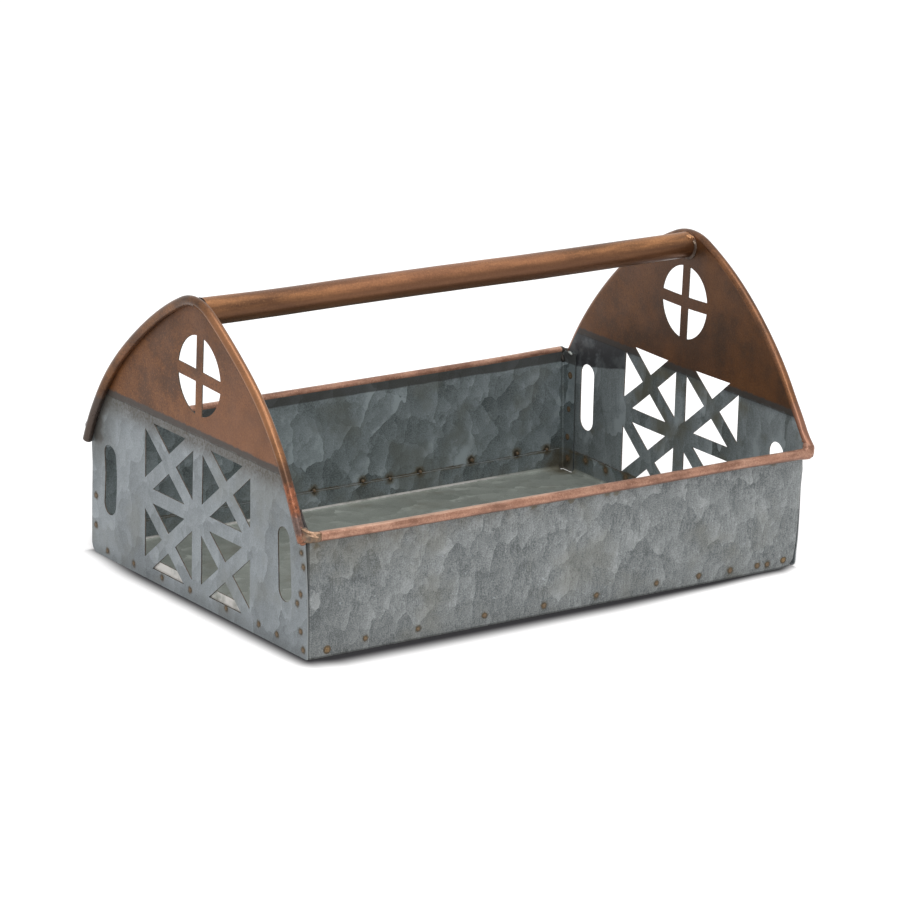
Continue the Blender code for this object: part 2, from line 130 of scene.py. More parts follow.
class Sum:
    # A number in a material, with which Python's own sums make Math nodes.
    def __init__(self, paint, socket):
        self.paint = paint
        self.socket = socket

    def __add__(self, other):
        return self.paint.maths("ADD", self, other)

    def __radd__(self, other):
        return self.paint.maths("ADD", other, self)

    def __sub__(self, other):
        return self.paint.maths("SUBTRACT", self, other)

    def __rsub__(self, other):
        return self.paint.maths("SUBTRACT", other, self)

    def __mul__(self, other):
        return self.paint.maths("MULTIPLY", self, other)

    def __rmul__(self, other):
        return self.paint.maths("MULTIPLY", other, self)

    def __truediv__(self, other):
        return self.paint.maths("DIVIDE", self, other)

    def __rtruediv__(self, other):
        return self.paint.maths("DIVIDE", other, self)

    def least(self, other):
        return self.paint.maths("MINIMUM", self, other)

    def most(self, other):
        return self.paint.maths("MAXIMUM", self, other)

    def size(self):
        return self.paint.maths("ABSOLUTE", self)

    def rise(self, low, high, share=1):
        # 0 below low, share above high, with a smooth step between. Falls where low is above high.
        kind = {"interpolation_type": "SMOOTHSTEP"}
        step = self.paint.add("ShaderNodeMapRange", kind,
                              {0: self, 1: min(low, high), 2: max(low, high)})
        step = step if low < high else 1 - step
        return step if share == 1 else step * share


class Paint:
    # The nodes of one material, or of the world.
    def __init__(self, name, owner=None):
        self.owner = owner or bpy.data.materials.new(name)
        self.owner.use_nodes = True
        self.tree = self.owner.node_tree
        self.shader = self.tree.nodes.get("Principled BSDF")
        self.at = self.add("ShaderNodeTexCoord", {}, {}, "Object")

    def add(self, kind, settings, inputs, output=0):
        node = self.tree.nodes.new(kind)
        for name, value in settings.items():
            setattr(node, name, value)
        for key, value in inputs.items():
            if isinstance(value, Sum):
                self.tree.links.new(value.socket, node.inputs[key])
            else:
                node.inputs[key].default_value = value
        return Sum(self, node.outputs[output])

    def other(self, value, output):
        # Another output of the node that a value comes from.
        return Sum(self, value.socket.node.outputs[output])

    def maths(self, operation, *values):
        return self.add("ShaderNodeMath", {"operation": operation}, dict(enumerate(values)))

    def vector(self, operation, *values, output=0):
        settings = {"operation": operation}
        return self.add("ShaderNodeVectorMath", settings, dict(enumerate(values)), output)

    def mix(self, share, first, second):
        settings = {"data_type": "RGBA", "clamp_factor": True}
        return self.add("ShaderNodeMix", settings, {0: share, 6: first, 7: second}, 2)

    def placed(self, shift, stretch):
        moved = {"Vector": self.at, "Location": shift, "Scale": stretch}
        return self.add("ShaderNodeMapping", {}, moved)

    def axis(self, letter, at=None):
        return self.add("ShaderNodeSeparateXYZ", {}, {0: at or self.at}, letter)

    def along(self, letter):
        # A coordinate in millimetres.
        return self.axis(letter) / mm

    def noise(self, scale, detail=3, roughness=0.55, at=None, output=0):
        inputs = {"Vector": at or self.at, "Scale": scale, "Detail": detail,
                  "Roughness": roughness}
        return self.add("ShaderNodeTexNoise", {}, inputs, output)

    def frayed(self, value, width, *grain):
        # The value moved by noise of this width, so that edges drawn with it fray.
        return value + (self.noise(*grain) - 0.5) * width

    def show(self, result):
        # Links a shader to the tree's output.
        output = next(n for n in self.tree.nodes if n.bl_idname.startswith("ShaderNodeOutput"))
        self.tree.links.new(result.socket, output.inputs["Surface"])

    def nearest(self, points):
        # Distance to the closest of some points, in millimetres.
        closest = None
        for point in points:
            away = self.vector("DISTANCE", self.at, tuple(point), output="Value")
            closest = away if closest is None else closest.least(away)
        return closest / mm

    def spangles(self, size, bend, seed, lean, stretch):
        # Zinc crystals: each cell's own shade, and how far to its leaning side a place is.
        grey = (0.5, 0.5, 0.5)
        place = self.placed((seed, seed / 2, -seed), stretch)
        wobble = self.vector("SUBTRACT", self.noise(1.4 / size, 2, 0.6, place, "Color"), grey)
        place = self.vector("MULTIPLY_ADD", wobble, (bend * size,) * 3, place)
        cells = {"Vector": place, "Scale": 1 / size}
        middle = self.add("ShaderNodeTexVoronoi", {}, cells, "Position")
        tone = self.vector("SUBTRACT", self.other(middle, "Color"), grey)
        away = self.vector("SUBTRACT", place, middle)
        way = self.vector("MULTIPLY_ADD", tone, (0.7, 0.7, 0.7), lean)
        across = self.vector("DOT_PRODUCT", away, way, output="Value") / size
        return self.axis("X", tone), across

    def finish(self, tint, rough, height, depth, metallic, specular=0.5):
        self.shader.inputs["Metallic"].default_value = metallic
        self.shader.inputs["Specular IOR Level"].default_value = specular
        self.tree.links.new(tint.socket, self.shader.inputs["Base Color"])
        self.tree.links.new(rough.socket, self.shader.inputs["Roughness"])
        bump = self.add("ShaderNodeBump", {}, {"Height": height, "Distance": depth})
        self.tree.links.new(bump.socket, self.shader.inputs["Normal"])
        return self.owner


# Spot welds, dirt and smoke as (across, up) on each sheet, with a size where it isn't 1

spots = {
    "front": [(-170.1, 4.6, 1.6), (-142.9, 7.1), (-105, 6.7), (-56.3, 7.1), (-11.9, 6.1),
              (27.8, 6.2), (73.9, 6.5), (106.9, 5.9), (131.6, 5.6), (153.1, 5.3), (161, 4.9),
              (173.7, 5.9, 1.2)],
    "back": [(-150, 14.6), (-96, 15.2), (-52, 13.8), (-17.7, 14.2), (20.4, 15.1), (41.5, 13.6),
             (65.7, 14.7), (107, 16.7), (144, 15.9), (168.3, 15.2)],
    "end": [(105.9, 4.7), (74, 5.2), (40.1, 5.4), (7.1, 6.7), (-34.5, 6.8), (-71.3, 7.3),
            (-91.5, 6.7), (-117.3, 64.9), (-119.6, 56.6), (-116.9, 39), (-113.3, 32.5),
            (-117.5, 15.9), (-120.4, 5.2), (120.4, 37.3), (120.2, 18)],
    "inside": [(99, 11.9), (76.2, 11.1), (53.9, 11.8), (12, 11.6), (-38, 11.7), (-85, 11.4)],
    "flange": [(119.4, 65.9), (120, 42.3), (120.3, 22.9), (119.4, 8.2), (-118.5, 60),
               (-119.4, 38), (-118, 20)],
    "rimDirt": [(-178.5, 70), (-23.5, 72), (4.6, 72), (32.3, 71.7), (39.1, 71.2), (160, 73)],
    # these places also carry the painted shadow beside the arch's legs
    "smokeAndShade": [(119, 78), (120, 84), (118.5, 90), (115, 96), (111, 103), (107, 108),
              (-124, 80), (-122, 87)],
}


def spotsOn(row, level, alongLength):
    # The row's places in the tray, on the sheet at x or y = level.
    places = []
    for across, height, *size in spots[row]:
        if alongLength:
            place = Vector((across * mm, level, height * mm))
            place.y = settled(place).y
        else:
            place = Vector((level, across * mm, height * mm))
            place.x = settled(place).x
        places.append(place)
    return places


# Zinc. The crystals have a size, wavy edges by bend, a height by tall, and a shine on one side.
# tinted is the share of brown clouds, halo a spot weld's brown reach in mm and its share.

zincLooks = {
    "front": {
        "dark": colour(79, 84, 85), "light": colour(150, 154, 154), "tint": colour(106, 105, 94),
        "size": 13 * mm, "bend": 0.6, "tall": 0.75, "contrast": 0.46, "shine": 0.45, "fibre": 1.1,
        "grain": 1.5, "cloud": 0.3, "speck": 0.22, "lean": (0.7, 0, -0.6), "seed": 1.3,
        "halo": (3.6, 0.55), "tinted": 0.36,
    },
    "back": {
        "dark": colour(72, 80, 80), "light": colour(152, 162, 166), "tint": colour(94, 97, 90),
        "size": 20 * mm, "bend": 0.65, "tall": 0.85, "contrast": 0.48, "shine": 1, "fibre": 0.2,
        "grain": 0.95, "cloud": 0.35, "speck": 0.1, "lean": (0.8, 0, -0.7), "seed": 4.1,
        "halo": (5.4, 0.9), "tinted": 0.55,
    },
    "floor": {
        "dark": colour(102, 107, 100), "light": colour(160, 165, 158),
        "tint": colour(102, 100, 88), "size": 17 * mm, "bend": 0.8, "tall": 1, "contrast": 0.27,
        "shine": 1, "fibre": 0, "grain": 0.7, "cloud": 0.5, "speck": 0, "lean": (0.2, 0.9, 0),
        "seed": 7.7, "tinted": 0.55,
    },
    "end": {
        "dark": colour(98, 104, 107), "light": colour(152, 159, 163),
        "tint": colour(112, 114, 108), "size": 17 * mm, "bend": 0.7, "tall": 0.8,
        "contrast": 0.38, "shine": 0.35, "fibre": 0.3, "grain": 0.9, "cloud": 0.6, "speck": 0.15,
        "lean": (0, -0.7, -0.6), "seed": 2.9, "halo": (3.6, 0.6), "tinted": 0.4,
    },
    "inside": {
        "dark": colour(79, 85, 84), "light": colour(154, 162, 166), "tint": colour(98, 95, 80),
        "size": 24 * mm, "bend": 0.9, "tall": 0.5, "contrast": 0.5, "shine": 1.3, "fibre": 0.6,
        "grain": 0.95, "cloud": 0.6, "speck": 0.1, "lean": (0, -0.7, -0.7), "seed": 5.6,
        "halo": (5, 0.9), "tinted": 0.8,
    },
}
# The darkest colour here is painted shade for the corner gaps and the feet, not rust.
rust = {"stain": colour(86, 76, 54), "pit": colour(40, 36, 30), "line": colour(90, 80, 58),
        "corner": colour(80, 70, 46), "gapShade": colour(26, 26, 24), "height": 14 * mm}
patina = {"tint": colour(58, 56, 54), "panel": colour(55, 56, 59), "height": 74, "back": 58,
          "slope": 0.2, "share": 0.8, "soft": 0.5}
# Painted highlight along the pan's bends and painted shade where they begin, by height in mm
bendHighlightShade = {"tint": colour(205, 202, 198), "height": (1.5, 2.1, 0.85), "worn": (0.25, 0.55),
            "fade": (168, 110), "under": (1.4, 0.9, 0.3), "underEnd": (0.78, 0.9)}

# Where each stain or painted shade begins and where it is full, in mm, with its share where it
# isn't 1
stains = {
    "weldFull": 1.6, "weldPit": (2.6, 1.9, 0.8), "line": (1.3, 0.3, 0.75),
    "corner": (19, 4, 0.7), "cornerPit": (6, 1, 0.5),
    # bend and bendEnd place painted shade in the inside corner bends
    "bend": (-3, -2.2, 0.5), "bendEnd": (-1, -1.6), "foot": (16, 2, 0.35),
    # the gap rows place painted shade in the left corner's gap
    "rimDirt": (3.4, 1, 0.75), "gapShade": (-0.6, -0.25), "gapHeight": (45, 74, 0.4), "gapLeast": 0.4,
    "grime": (56, 75, 0.45), "grimeAcross": (80, -150), "leftShade": (-60, -170, 0.1),
    # the last two rows are painted shade where the wall meets the ground
    "groundShade": (10, 1, 0.2), "groundShadeLine": (1.5, 0.7, 0.5),
}
worn = (0.3, 0.7)             # levels of noise between which a stain is worn away


def zincTint(paint, look):
    # The sheet's colour, its grey level from 0 to 1, and its fine grain.
    stretch = (1, 1, look["tall"])
    shade, across = paint.spangles(look["size"], look["bend"], look["seed"], look["lean"],
                                   stretch)
    small, along = paint.spangles(look["size"] * 0.47, 1, look["seed"] + 3, look["lean"], stretch)
    crystals = 0.75 * shade + 0.4 * small + 0.5 * across + 0.25 * along
    edges = across.rise(0.2, 0.52) * paint.noise(60, 2).rise(0.4, 0.62) * look["shine"]
    fine = paint.noise(1300, 1.5, 0.7)
    level = 0.42 + look["contrast"] * crystals + 0.4 * edges + look["grain"] * (fine - 0.5)
    if look["fibre"]:
        lines = paint.noise(1, 3, 0.65, paint.placed((0, 0, 0), (1000, 1000, 190)))
        faint = 0.35 + 0.65 * paint.noise(32, 2).rise(0.38, 0.62)
        level = level + (lines - 0.5) * faint * look["fibre"]
    level = paint.frayed(level, look["cloud"], 14, 2)
    tint = paint.mix(level, look["dark"], look["light"])
    tint = paint.mix(paint.noise(24, 3, 0.6).rise(0.5, 0.68, look["tinted"]), tint, look["tint"])
    if look["speck"]:
        specks = paint.noise(330, 1, 0.5, paint.placed((3, 1, 2), (1, 1, 1)))
        tint = paint.mix(specks.rise(0.74, 0.8, look["speck"]), tint, colour(196, 204, 210))
    return tint, level, fine


def zincFinish(paint, shade, level, fine, depth, metallic):
    rough = 0.42 + 0.2 * paint.noise(60)
    return paint.finish(shade, rough, level * 0.6 + fine * 0.25, depth, metallic)


def rusted(paint, shade, places, reach, amount):
    # Brown heat marks round the spot welds.
    away = paint.frayed(paint.nearest(places), 3, 420)
    shade = paint.mix(away.rise(reach, stains["weldFull"], amount), shade, rust["stain"])
    return paint.mix(away.rise(*stains["weldPit"]) * amount, shade, rust["pit"])


def rustLine(paint, shade):
    # A thin brown line where the pan's flange ends.
    off = paint.frayed((paint.axis("Z") - rust["height"]).size() / mm, 1.6, 500, 2)
    line = off.rise(*stains["line"]) * paint.noise(90, 2).rise(0.3, 0.62)
    return paint.mix(line, shade, rust["line"])


def cornerRust(paint, shade):
    corners = [(x * panFlat.x, y * panFlat.y, pan["bend"]) for x in (-1, 1) for y in (-1, 1)]
    away = paint.frayed(paint.nearest(corners), 20, 130, 4)
    shade = paint.mix(away.rise(*stains["corner"]), shade, rust["corner"])
    return paint.mix(away.rise(*stains["cornerPit"]), shade, rust["pit"])


def insideStains(paint, shade, look):
    # Painted shade in the corner bends, the patina below the rim, and brown at the foot.
    # painted shade where the walls bend into their end flanges
    bend = (paint.axis("X").size() - boxEnd) / mm
    bend = bend.rise(*stains["bend"]) * bend.rise(*stains["bendEnd"])
    shade = cornerRust(paint, paint.mix(bend, shade, look["dark"]))
    height = paint.frayed(paint.along("Z"), 2.4, 45)
    dark = height.rise(patina["height"] - patina["soft"], patina["height"] + patina["soft"],
                       patina["share"])
    shade = rustLine(paint, paint.mix(dark, shade, patina["tint"]))
    foot = paint.along("Z").rise(*stains["foot"]) * paint.noise(70).rise(*worn)
    return paint.mix(foot, shade, rust["stain"])


def frontDirtAndShade(paint, shade, places):
    # Dirt under the rim; painted shade in the left corner's gap, towards the left end and along
    # the foot.
    x, z = paint.along("X"), paint.along("Z")
    away = paint.frayed(paint.nearest(places), 6, 260, 4)
    shade = paint.mix(away.rise(*stains["rimDirt"]), shade, rust["stain"])
    # painted shade in the gap at the wall's left end
    gapShade = (-boxEnd / mm - x).rise(*stains["gapShade"])
    gapShade = gapShade * (z.rise(*stains["gapHeight"]) + stains["gapLeast"])
    shade = paint.mix(gapShade, shade, rust["gapShade"])
    grime = z.rise(*stains["grime"]) * x.rise(*stains["grimeAcross"])
    shade = paint.mix(grime * paint.noise(120).rise(*worn), shade, rust["stain"])
    shade = paint.mix(x.rise(*stains["leftShade"]), shade, rust["gapShade"])
    # painted shade where the wall meets the ground
    foot = z.rise(*stains["groundShade"]) + z.rise(*stains["groundShadeLine"])
    return paint.mix(foot, shade, rust["gapShade"])


def zincSheet(name, lookName, places, inner=False, dirt=()):
    look = zincLooks[lookName]
    paint = Paint(name)
    shade, level, fine = zincTint(paint, look)
    if inner:
        shade = insideStains(paint, shade, look)
    shade = rusted(paint, shade, places, *look["halo"])
    if dirt:
        shade = frontDirtAndShade(paint, shade, dirt)
    return zincFinish(paint, shade, level, fine, 0.1 * mm, 0.35)


def floorSheet(name):
    # The pan's flat: a painted highlight runs along each of its bends, with painted shade just
    # below it.
    look = zincLooks["floor"]
    paint = Paint(name)
    shade, level, fine = zincTint(paint, look)
    z = paint.frayed(paint.along("Z"), 0.8, 300, 2)
    # painted shade where the bend begins
    under = z.rise(*bendHighlightShade["under"]) * z.rise(*bendHighlightShade["underEnd"])
    shade = cornerRust(paint, paint.mix(under, shade, look["dark"]))
    # painted highlight along the bend
    line = z.rise(*bendHighlightShade["height"]) * paint.noise(80).rise(*bendHighlightShade["worn"])
    line = line * paint.along("X").rise(*bendHighlightShade["fade"])
    shade = paint.mix(line, shade, bendHighlightShade["tint"])
    return zincFinish(paint, shade, level, fine, 0.08 * mm, 0.3)


# Copper: dark and light clouds over the base, wide pink ones, and a fine grain

copperLooks = {
    "gable": {"base": colour(108, 66, 31), "dark": colour(76, 46, 23),
              "light": colour(140, 92, 50), "pink": colour(128, 84, 55), "cloud": 55,
              "grain": 1.1},
    "inside": {"base": colour(98, 60, 28), "dark": colour(66, 42, 23),
               "light": colour(120, 80, 44), "pink": colour(92, 60, 40), "cloud": 30,
               "grain": 0.7},
    "rim": {"base": colour(162, 122, 102), "dark": colour(124, 88, 71),
            "light": colour(192, 154, 132), "pink": colour(172, 126, 104), "cloud": 160,
            "grain": 0.8},
    "arch": {"base": colour(108, 72, 44), "dark": colour(74, 50, 33),
             "light": colour(138, 96, 60), "pink": colour(120, 80, 54), "cloud": 70, "grain": 1},
    "farArch": {"base": colour(114, 75, 47), "dark": colour(84, 56, 37),
                "light": colour(140, 96, 60), "pink": colour(122, 82, 56), "cloud": 70,
                "grain": 0.8},
    "tube": {"base": colour(162, 112, 71), "dark": colour(84, 54, 33),
             "light": colour(194, 140, 94), "pink": colour(164, 112, 80), "cloud": 70,
             "grain": 0.45},
}
copperLayers = {"base": (0.34, 0.62), "light": (0.54, 0.8, 0.6), "pink": (0.48, 0.66, 0.5),
                "darkGrain": (0.52, 0.34, 0.75), "lightGrain": (0.54, 0.7, 0.65)}
# The straight rims' painted highlight on top and painted shade below, as heights in mm
rimHighlightShade = {"highlight": colour(216, 184, 162), "dark": colour(92, 62, 48), "line": (79, 79.6, 0.35),
          "low": (75.6, 74.3, 0.5), "backLow": (78.2, 75.5, 0.5), "backLift": 3.6}
# Painted shade on the tube's lower side
tubeUnderShade = (5, 1, 0.68)        # the tube is darker below, in mm from its middle


def copperTint(paint, look, stretch=(1, 1, 1)):
    at = paint.placed((0.3, 0.1, 0.7), stretch)
    cloud = paint.noise(look["cloud"], 5, 0.62, at)
    wide = paint.noise(look["cloud"] / 3, 2, 0.5, at)
    fine = paint.noise(900, 3, 0.75)
    shade = paint.mix(cloud.rise(*copperLayers["base"]), look["dark"], look["base"])
    shade = paint.mix(cloud.rise(*copperLayers["light"]), shade, look["light"])
    shade = paint.mix(wide.rise(*copperLayers["pink"]), shade, look["pink"])
    for grain, tint in (("darkGrain", "dark"), ("lightGrain", "light")):
        speckle = fine.rise(*copperLayers[grain]) * look["grain"]
        shade = paint.mix(speckle, shade, look[tint])
    return shade, cloud, fine


def rimMetal(name, stretch, straight):
    # A straight rim gets a painted highlight line along its top and painted shade below it.
    paint = Paint(name)
    shade, cloud, fine = copperTint(paint, copperLooks["rim"], stretch)
    if straight:
        back = paint.along("Y").rise(-1, 1)
        z = paint.along("Z") + (cloud - 0.5) * 1.5 - back * rimHighlightShade["backLift"]
        # painted highlight along the top, then painted shade low down
        shade = paint.mix(z.rise(*rimHighlightShade["line"]), shade, rimHighlightShade["highlight"])
        low = z.rise(*rimHighlightShade["low"]) + z.rise(*rimHighlightShade["backLow"]) * back
        shade = paint.mix(low, shade, rimHighlightShade["dark"])
    return paint.finish(shade, 0.3 + 0.2 * cloud, fine, 0.04 * mm, 0.6)


def tubeMetal(name):
    # Painted shade darkens its lower side, so that its top looks lit.
    paint = Paint(name)
    shade, cloud, fine = copperTint(paint, copperLooks["tube"], (0.14, 1, 1))
    height = (paint.axis("Z") - tubeMiddle.z) / mm + (cloud - 0.5) * 6
    # painted shade below the tube's middle
    shade = paint.mix(height.rise(*tubeUnderShade), shade, copperLooks["tube"]["dark"])
    return paint.finish(shade, 0.28 + 0.2 * cloud, fine, 0.04 * mm, 0.6)


def ringMetal(name):
    # Grey flux low on the ring, browned copper over its top.
    paint = Paint(name)
    cloud = paint.noise(300, 4, 0.65)
    shade = paint.mix(cloud.rise(*mottled), colour(128, 112, 102), colour(84, 68, 58))
    top = (paint.axis("Z") - tubeMiddle.z) / mm
    shade = paint.mix(top.rise(2.5, 5), shade, colour(92, 60, 40))
    return paint.finish(shade, 0.38 + 0.2 * cloud, cloud, 0.08 * mm, 0.5)


# Heat colours of the near arch's rolled edge, as (from height, to height, share, colour), in mm

archHeat = {
    "front": [(119, 112, 0.7, colour(66, 46, 34)), (107, 102, 1, colour(132, 80, 54)),
              (91, 86, 0.95, colour(96, 80, 74)), (79, 76, 0.9, colour(138, 92, 68))],
    "back": [(111, 103, 0.95, colour(72, 62, 56))],
}
archMarks = {
    "gold": colour(176, 122, 84), "goldAcross": (-6, -26), "goldHeight": (108, 140, 0.42),
    "burnt": (110, 104), "scale": colour(72, 50, 42), "scaleGrain": (0.5, 0.38, 0.7),
    "spark": colour(196, 136, 106), "sparkGrain": (0.56, 0.7, 0.6),
    "farLow": colour(138, 98, 80), "farHeight": (112, 92, 0.8),
}


def archMetal(name, lookName, heated):
    paint = Paint(name)
    shade, cloud, fine = copperTint(paint, copperLooks[lookName])
    if heated:
        y = paint.along("Y")
        z = paint.frayed(paint.along("Z"), 7, 160)
        front = y.rise(1, -1)
        for leg, side in (("front", front), ("back", y.rise(-1, 1))):
            for above, below, share, tint in archHeat[leg]:
                shade = paint.mix(z.rise(above, below, share) * side, shade, tint)
        gold = y.rise(*archMarks["goldAcross"]) * z.rise(*archMarks["goldHeight"])
        shade = paint.mix(gold, shade, archMarks["gold"])
        burnt = z.rise(*archMarks["burnt"]) * front
        speckle = paint.noise(420, 4, 0.75)
        for mark in ("scale", "spark"):
            grain = speckle.rise(*archMarks[mark + "Grain"])
            shade = paint.mix(grain * burnt, shade, archMarks[mark])
    else:
        low = paint.along("Z") + (cloud - 0.5) * 20
        shade = paint.mix(low.rise(*archMarks["farHeight"]), shade, archMarks["farLow"])
    return paint.finish(shade, 0.2 + 0.2 * cloud, fine, 0.05 * mm, 0.6)


# End panels carry both finishes: copper above a straight seam, zinc below it

seam = {                      # in mm, the rows from the seam
    "outside": 111, "inside": 101, "wobble": 1.4, "fray": 2.5, "copper": (-1.2, 0.6),
    "burnt": (-4.8, -3.6, 0.9), "burntTint": colour(60, 51, 45),
    "line": (-5.2, -4.6, 0.6), "lineEnd": (-3.8, -4.4), "insideDark": (-9, -3, 0.6),
    "band": (-21, -6), "bandTint": colour(77, 71, 63),
}
panelStains = {
    "haze": (30, 5, 0.45), "hazeAcross": (40, 80), "hazeTint": colour(78, 79, 74),
    # smoke also serves as the legs' painted shadow; foot is painted shade at the ground
    "smokeAndShade": (9, 3.5, 0.7), "smokeTint": colour(62, 57, 50), "foot": (10, 1.5, 0.25),
    # the crease rows place painted shade along a short crease below the window
    "creaseShade": (0.2, 1, 0.5), "creaseWidth": (0.7, 0.2), "creaseTop": (120.5, 119.5),
    "pink": (150, 95, 0.45), "top": (148, 176, 0.35),
}


def insidePanel(paint, zinc, y, z, above, rough):
    # The dark patina at the top, which ends on a slant towards the back.
    slant = z + patina["slope"] * (y - 112) + (rough - 0.5) * 2.4
    dark = slant.rise(patina["height"] - 0.6, patina["height"] + 0.6)
    dark = dark * y.rise(patina["back"] - 8, patina["back"] + 6)
    dark = dark + above.rise(*seam["insideDark"])
    kept = 0.7 + 0.3 * paint.noise(70, 4, 0.65).rise(0.62, 0.45)
    return rustLine(paint, paint.mix(dark.least(1) * kept, zinc, patina["panel"]))


def outsidePanel(paint, zinc, y, z, above):
    # A brown band below the seam, heat smoke along the arch's legs that also serves as their
    # painted shadow, and painted shade at the foot.
    band = above.rise(*seam["band"]) * (0.6 + 0.4 * paint.noise(500, 3, 0.7).rise(0.4, 0.65))
    zinc = paint.mix(band, zinc, seam["bandTint"])
    # heat smoke and painted shadow beside the arch's legs
    smokeAndShade = paint.frayed(paint.nearest(spotsOn("smokeAndShade", -panelOutside, False)), 9, 160, 4)
    haze = smokeAndShade.rise(*panelStains["haze"]) * y.rise(*panelStains["hazeAcross"])
    zinc = paint.mix(haze, zinc, panelStains["hazeTint"])
    zinc = paint.mix(smokeAndShade.rise(*panelStains["smokeAndShade"]), zinc, panelStains["smokeTint"])
    # painted shade at the panel's foot
    return paint.mix(z.rise(*panelStains["foot"]), zinc, rust["gapShade"])


def outsideGable(paint, copper, y, z, above):
    # Painted shade along a short crease below the window, pink low down and dark near the peak.
    look = copperLooks["gable"]
    creaseShade = above.rise(*panelStains["creaseShade"]) * y.size().rise(*panelStains["creaseWidth"])
    creaseShade = creaseShade * z.rise(*panelStains["creaseTop"])
    copper = paint.mix(creaseShade, copper, look["dark"])
    copper = paint.mix((z + y * 0.5).rise(*panelStains["pink"]), copper, look["pink"])
    return paint.mix(z.rise(*panelStains["top"]), copper, look["dark"])


def panelSheet(name, side, places):
    inner = side == "inside"
    look = zincLooks["inside" if inner else "end"]
    paint = Paint(name)
    zinc, level, fine = zincTint(paint, look)
    y, z = paint.along("Y"), paint.along("Z")
    rough = paint.noise(60)
    above = z - seam[side] + (rough - 0.5) * seam["wobble"]
    copper = copperTint(paint, copperLooks["inside" if inner else "gable"])[0]
    if inner:
        zinc = insidePanel(paint, zinc, y, z, above, rough)
    else:
        zinc = outsidePanel(paint, zinc, y, z, above)
        copper = outsideGable(paint, copper, y, z, above)
    zinc = rusted(paint, zinc, places, *look["halo"])
    edge = paint.frayed(above, seam["fray"], 240, 4, 0.7)
    zinc = paint.mix(edge.rise(*seam["burnt"]), zinc, seam["burntTint"])
    line = above.rise(*seam["line"]) * above.rise(*seam["lineEnd"])
    zinc = paint.mix(line, zinc, rust["pit"])
    shade = paint.mix(edge.rise(*seam["copper"]), zinc, copper)
    return zincFinish(paint, shade, level, fine, 0.08 * mm, 0.4)


# Plain metals: name, two colours, roughness, metallic, size of the clouds and gloss

plainLooks = {
    "flangeEdge": ("cutZincEdge", (92, 97, 97), (70, 74, 74), 0.5, 0.3, 300),
    # painted shade for the hollow insides of the rolls and the tube
    "creaseShade": ("rollCreaseShade", (40, 30, 24), (64, 48, 38), 0.7, 0, 300, 0.05),
    "rollUnder": ("rollUnderside", (118, 84, 62), (96, 68, 51), 0.75, 0, 300, 0),
    # a black sliver that stands in for shade at the near corner
    "shadeSliver": ("shadeSliverMetal", (34, 32, 31), (58, 50, 46), 0.5, 0, 300),
    "brass": ("brassRidge", (206, 170, 140), (148, 116, 92), 0.3, 0.5, 500),
    "bead": ("brightBead", (176, 158, 140), (132, 112, 96), 0.35, 0.5, 700),
    # a light bead for bare metal and a painted highlight at the back corner
    "bareGlint": ("bareMetalGlint", (176, 180, 176), (110, 112, 108), 0.4, 0.4, 500),
    "copperSpot": ("copperSpot", (214, 158, 110), (104, 66, 42), 0.35, 0.5, 900),
    "oldWeld": ("oldWeld", (62, 56, 50), (36, 34, 32), 0.45, 0.4, 260),
    "spot": ("spotWeldMetal", (130, 104, 68), (88, 70, 46), 0.5, 0.2, 900),
    "darkSpot": ("oldSpotMetal", (116, 96, 70), (84, 66, 50), 0.55, 0.1, 900),
    "spotRing": ("spotWeldRing", (60, 50, 36), (92, 76, 52), 0.55, 0.1, 900),
}
mottled = (0.35, 0.65)        # levels of noise between two mottled colours
brazeLook = {
    "dark": colour(92, 79, 68), "light": colour(128, 104, 82), "mottled": (0.4, 0.62),
    "speck": colour(168, 140, 112), "speckGrain": (0.58, 0.7, 0.5),
    "tip": colour(138, 94, 74), "tipAcross": (-187, -188.8, 0.85),
    "ring": colour(92, 64, 44), "ringStart": (-179, -178), "ringEnd": (-177, -178),
    "rimStart": (-178, -177),
}
edgeLook = {"dark": colour(52, 44, 37), "brown": colour(92, 80, 66), "grey": colour(132, 136, 136),
            "outer": (119, 121)}


def plainMetal(name, tint, other, rough, metallic, scale, specular=0.5):
    paint = Paint(name)
    cloud = paint.noise(scale, 4, 0.65)
    shade = paint.mix(cloud.rise(*mottled), colour(*tint), colour(*other))
    return paint.finish(shade, rough + 0.2 * cloud, cloud, 0.08 * mm, metallic, specular)


def brazeMetal(name):
    # Copper at the arch's tip, then grey flux, and the rim's own colour at the far end.
    paint = Paint(name)
    cloud = paint.noise(260, 4, 0.65)
    x = paint.along("X") + (cloud - 0.5) * 5
    shade = paint.mix(cloud.rise(*brazeLook["mottled"]), brazeLook["dark"], brazeLook["light"])
    speckle = paint.noise(700, 3, 0.7).rise(*brazeLook["speckGrain"])
    shade = paint.mix(speckle, shade, brazeLook["speck"])
    shade = paint.mix(x.rise(*brazeLook["tipAcross"]), shade, brazeLook["tip"])
    ringed = x.rise(*brazeLook["ringStart"]) * x.rise(*brazeLook["ringEnd"])
    shade = paint.mix(ringed, shade, brazeLook["ring"])
    shade = paint.mix(x.rise(*brazeLook["rimStart"]), shade, copperLooks["rim"]["base"])
    return paint.finish(shade, 0.34 + 0.2 * cloud, cloud, 0.1 * mm, 0.6)


def edgeMetal(name):
    # Brown in the cut-outs; along the panels' upright ends a light grey for bare steel that also
    # serves as a painted highlight.
    paint = Paint(name)
    cloud = paint.noise(300, 4, 0.65)
    shade = paint.mix(cloud.rise(*mottled), edgeLook["dark"], edgeLook["brown"])
    # bare steel and painted highlight along the upright ends
    outer = (paint.axis("Y").size() / mm).rise(*edgeLook["outer"])
    shade = paint.mix(outer, shade, edgeLook["grey"])
    return paint.finish(shade, 0.5 + 0.2 * cloud, cloud, 0.08 * mm, 0.3)


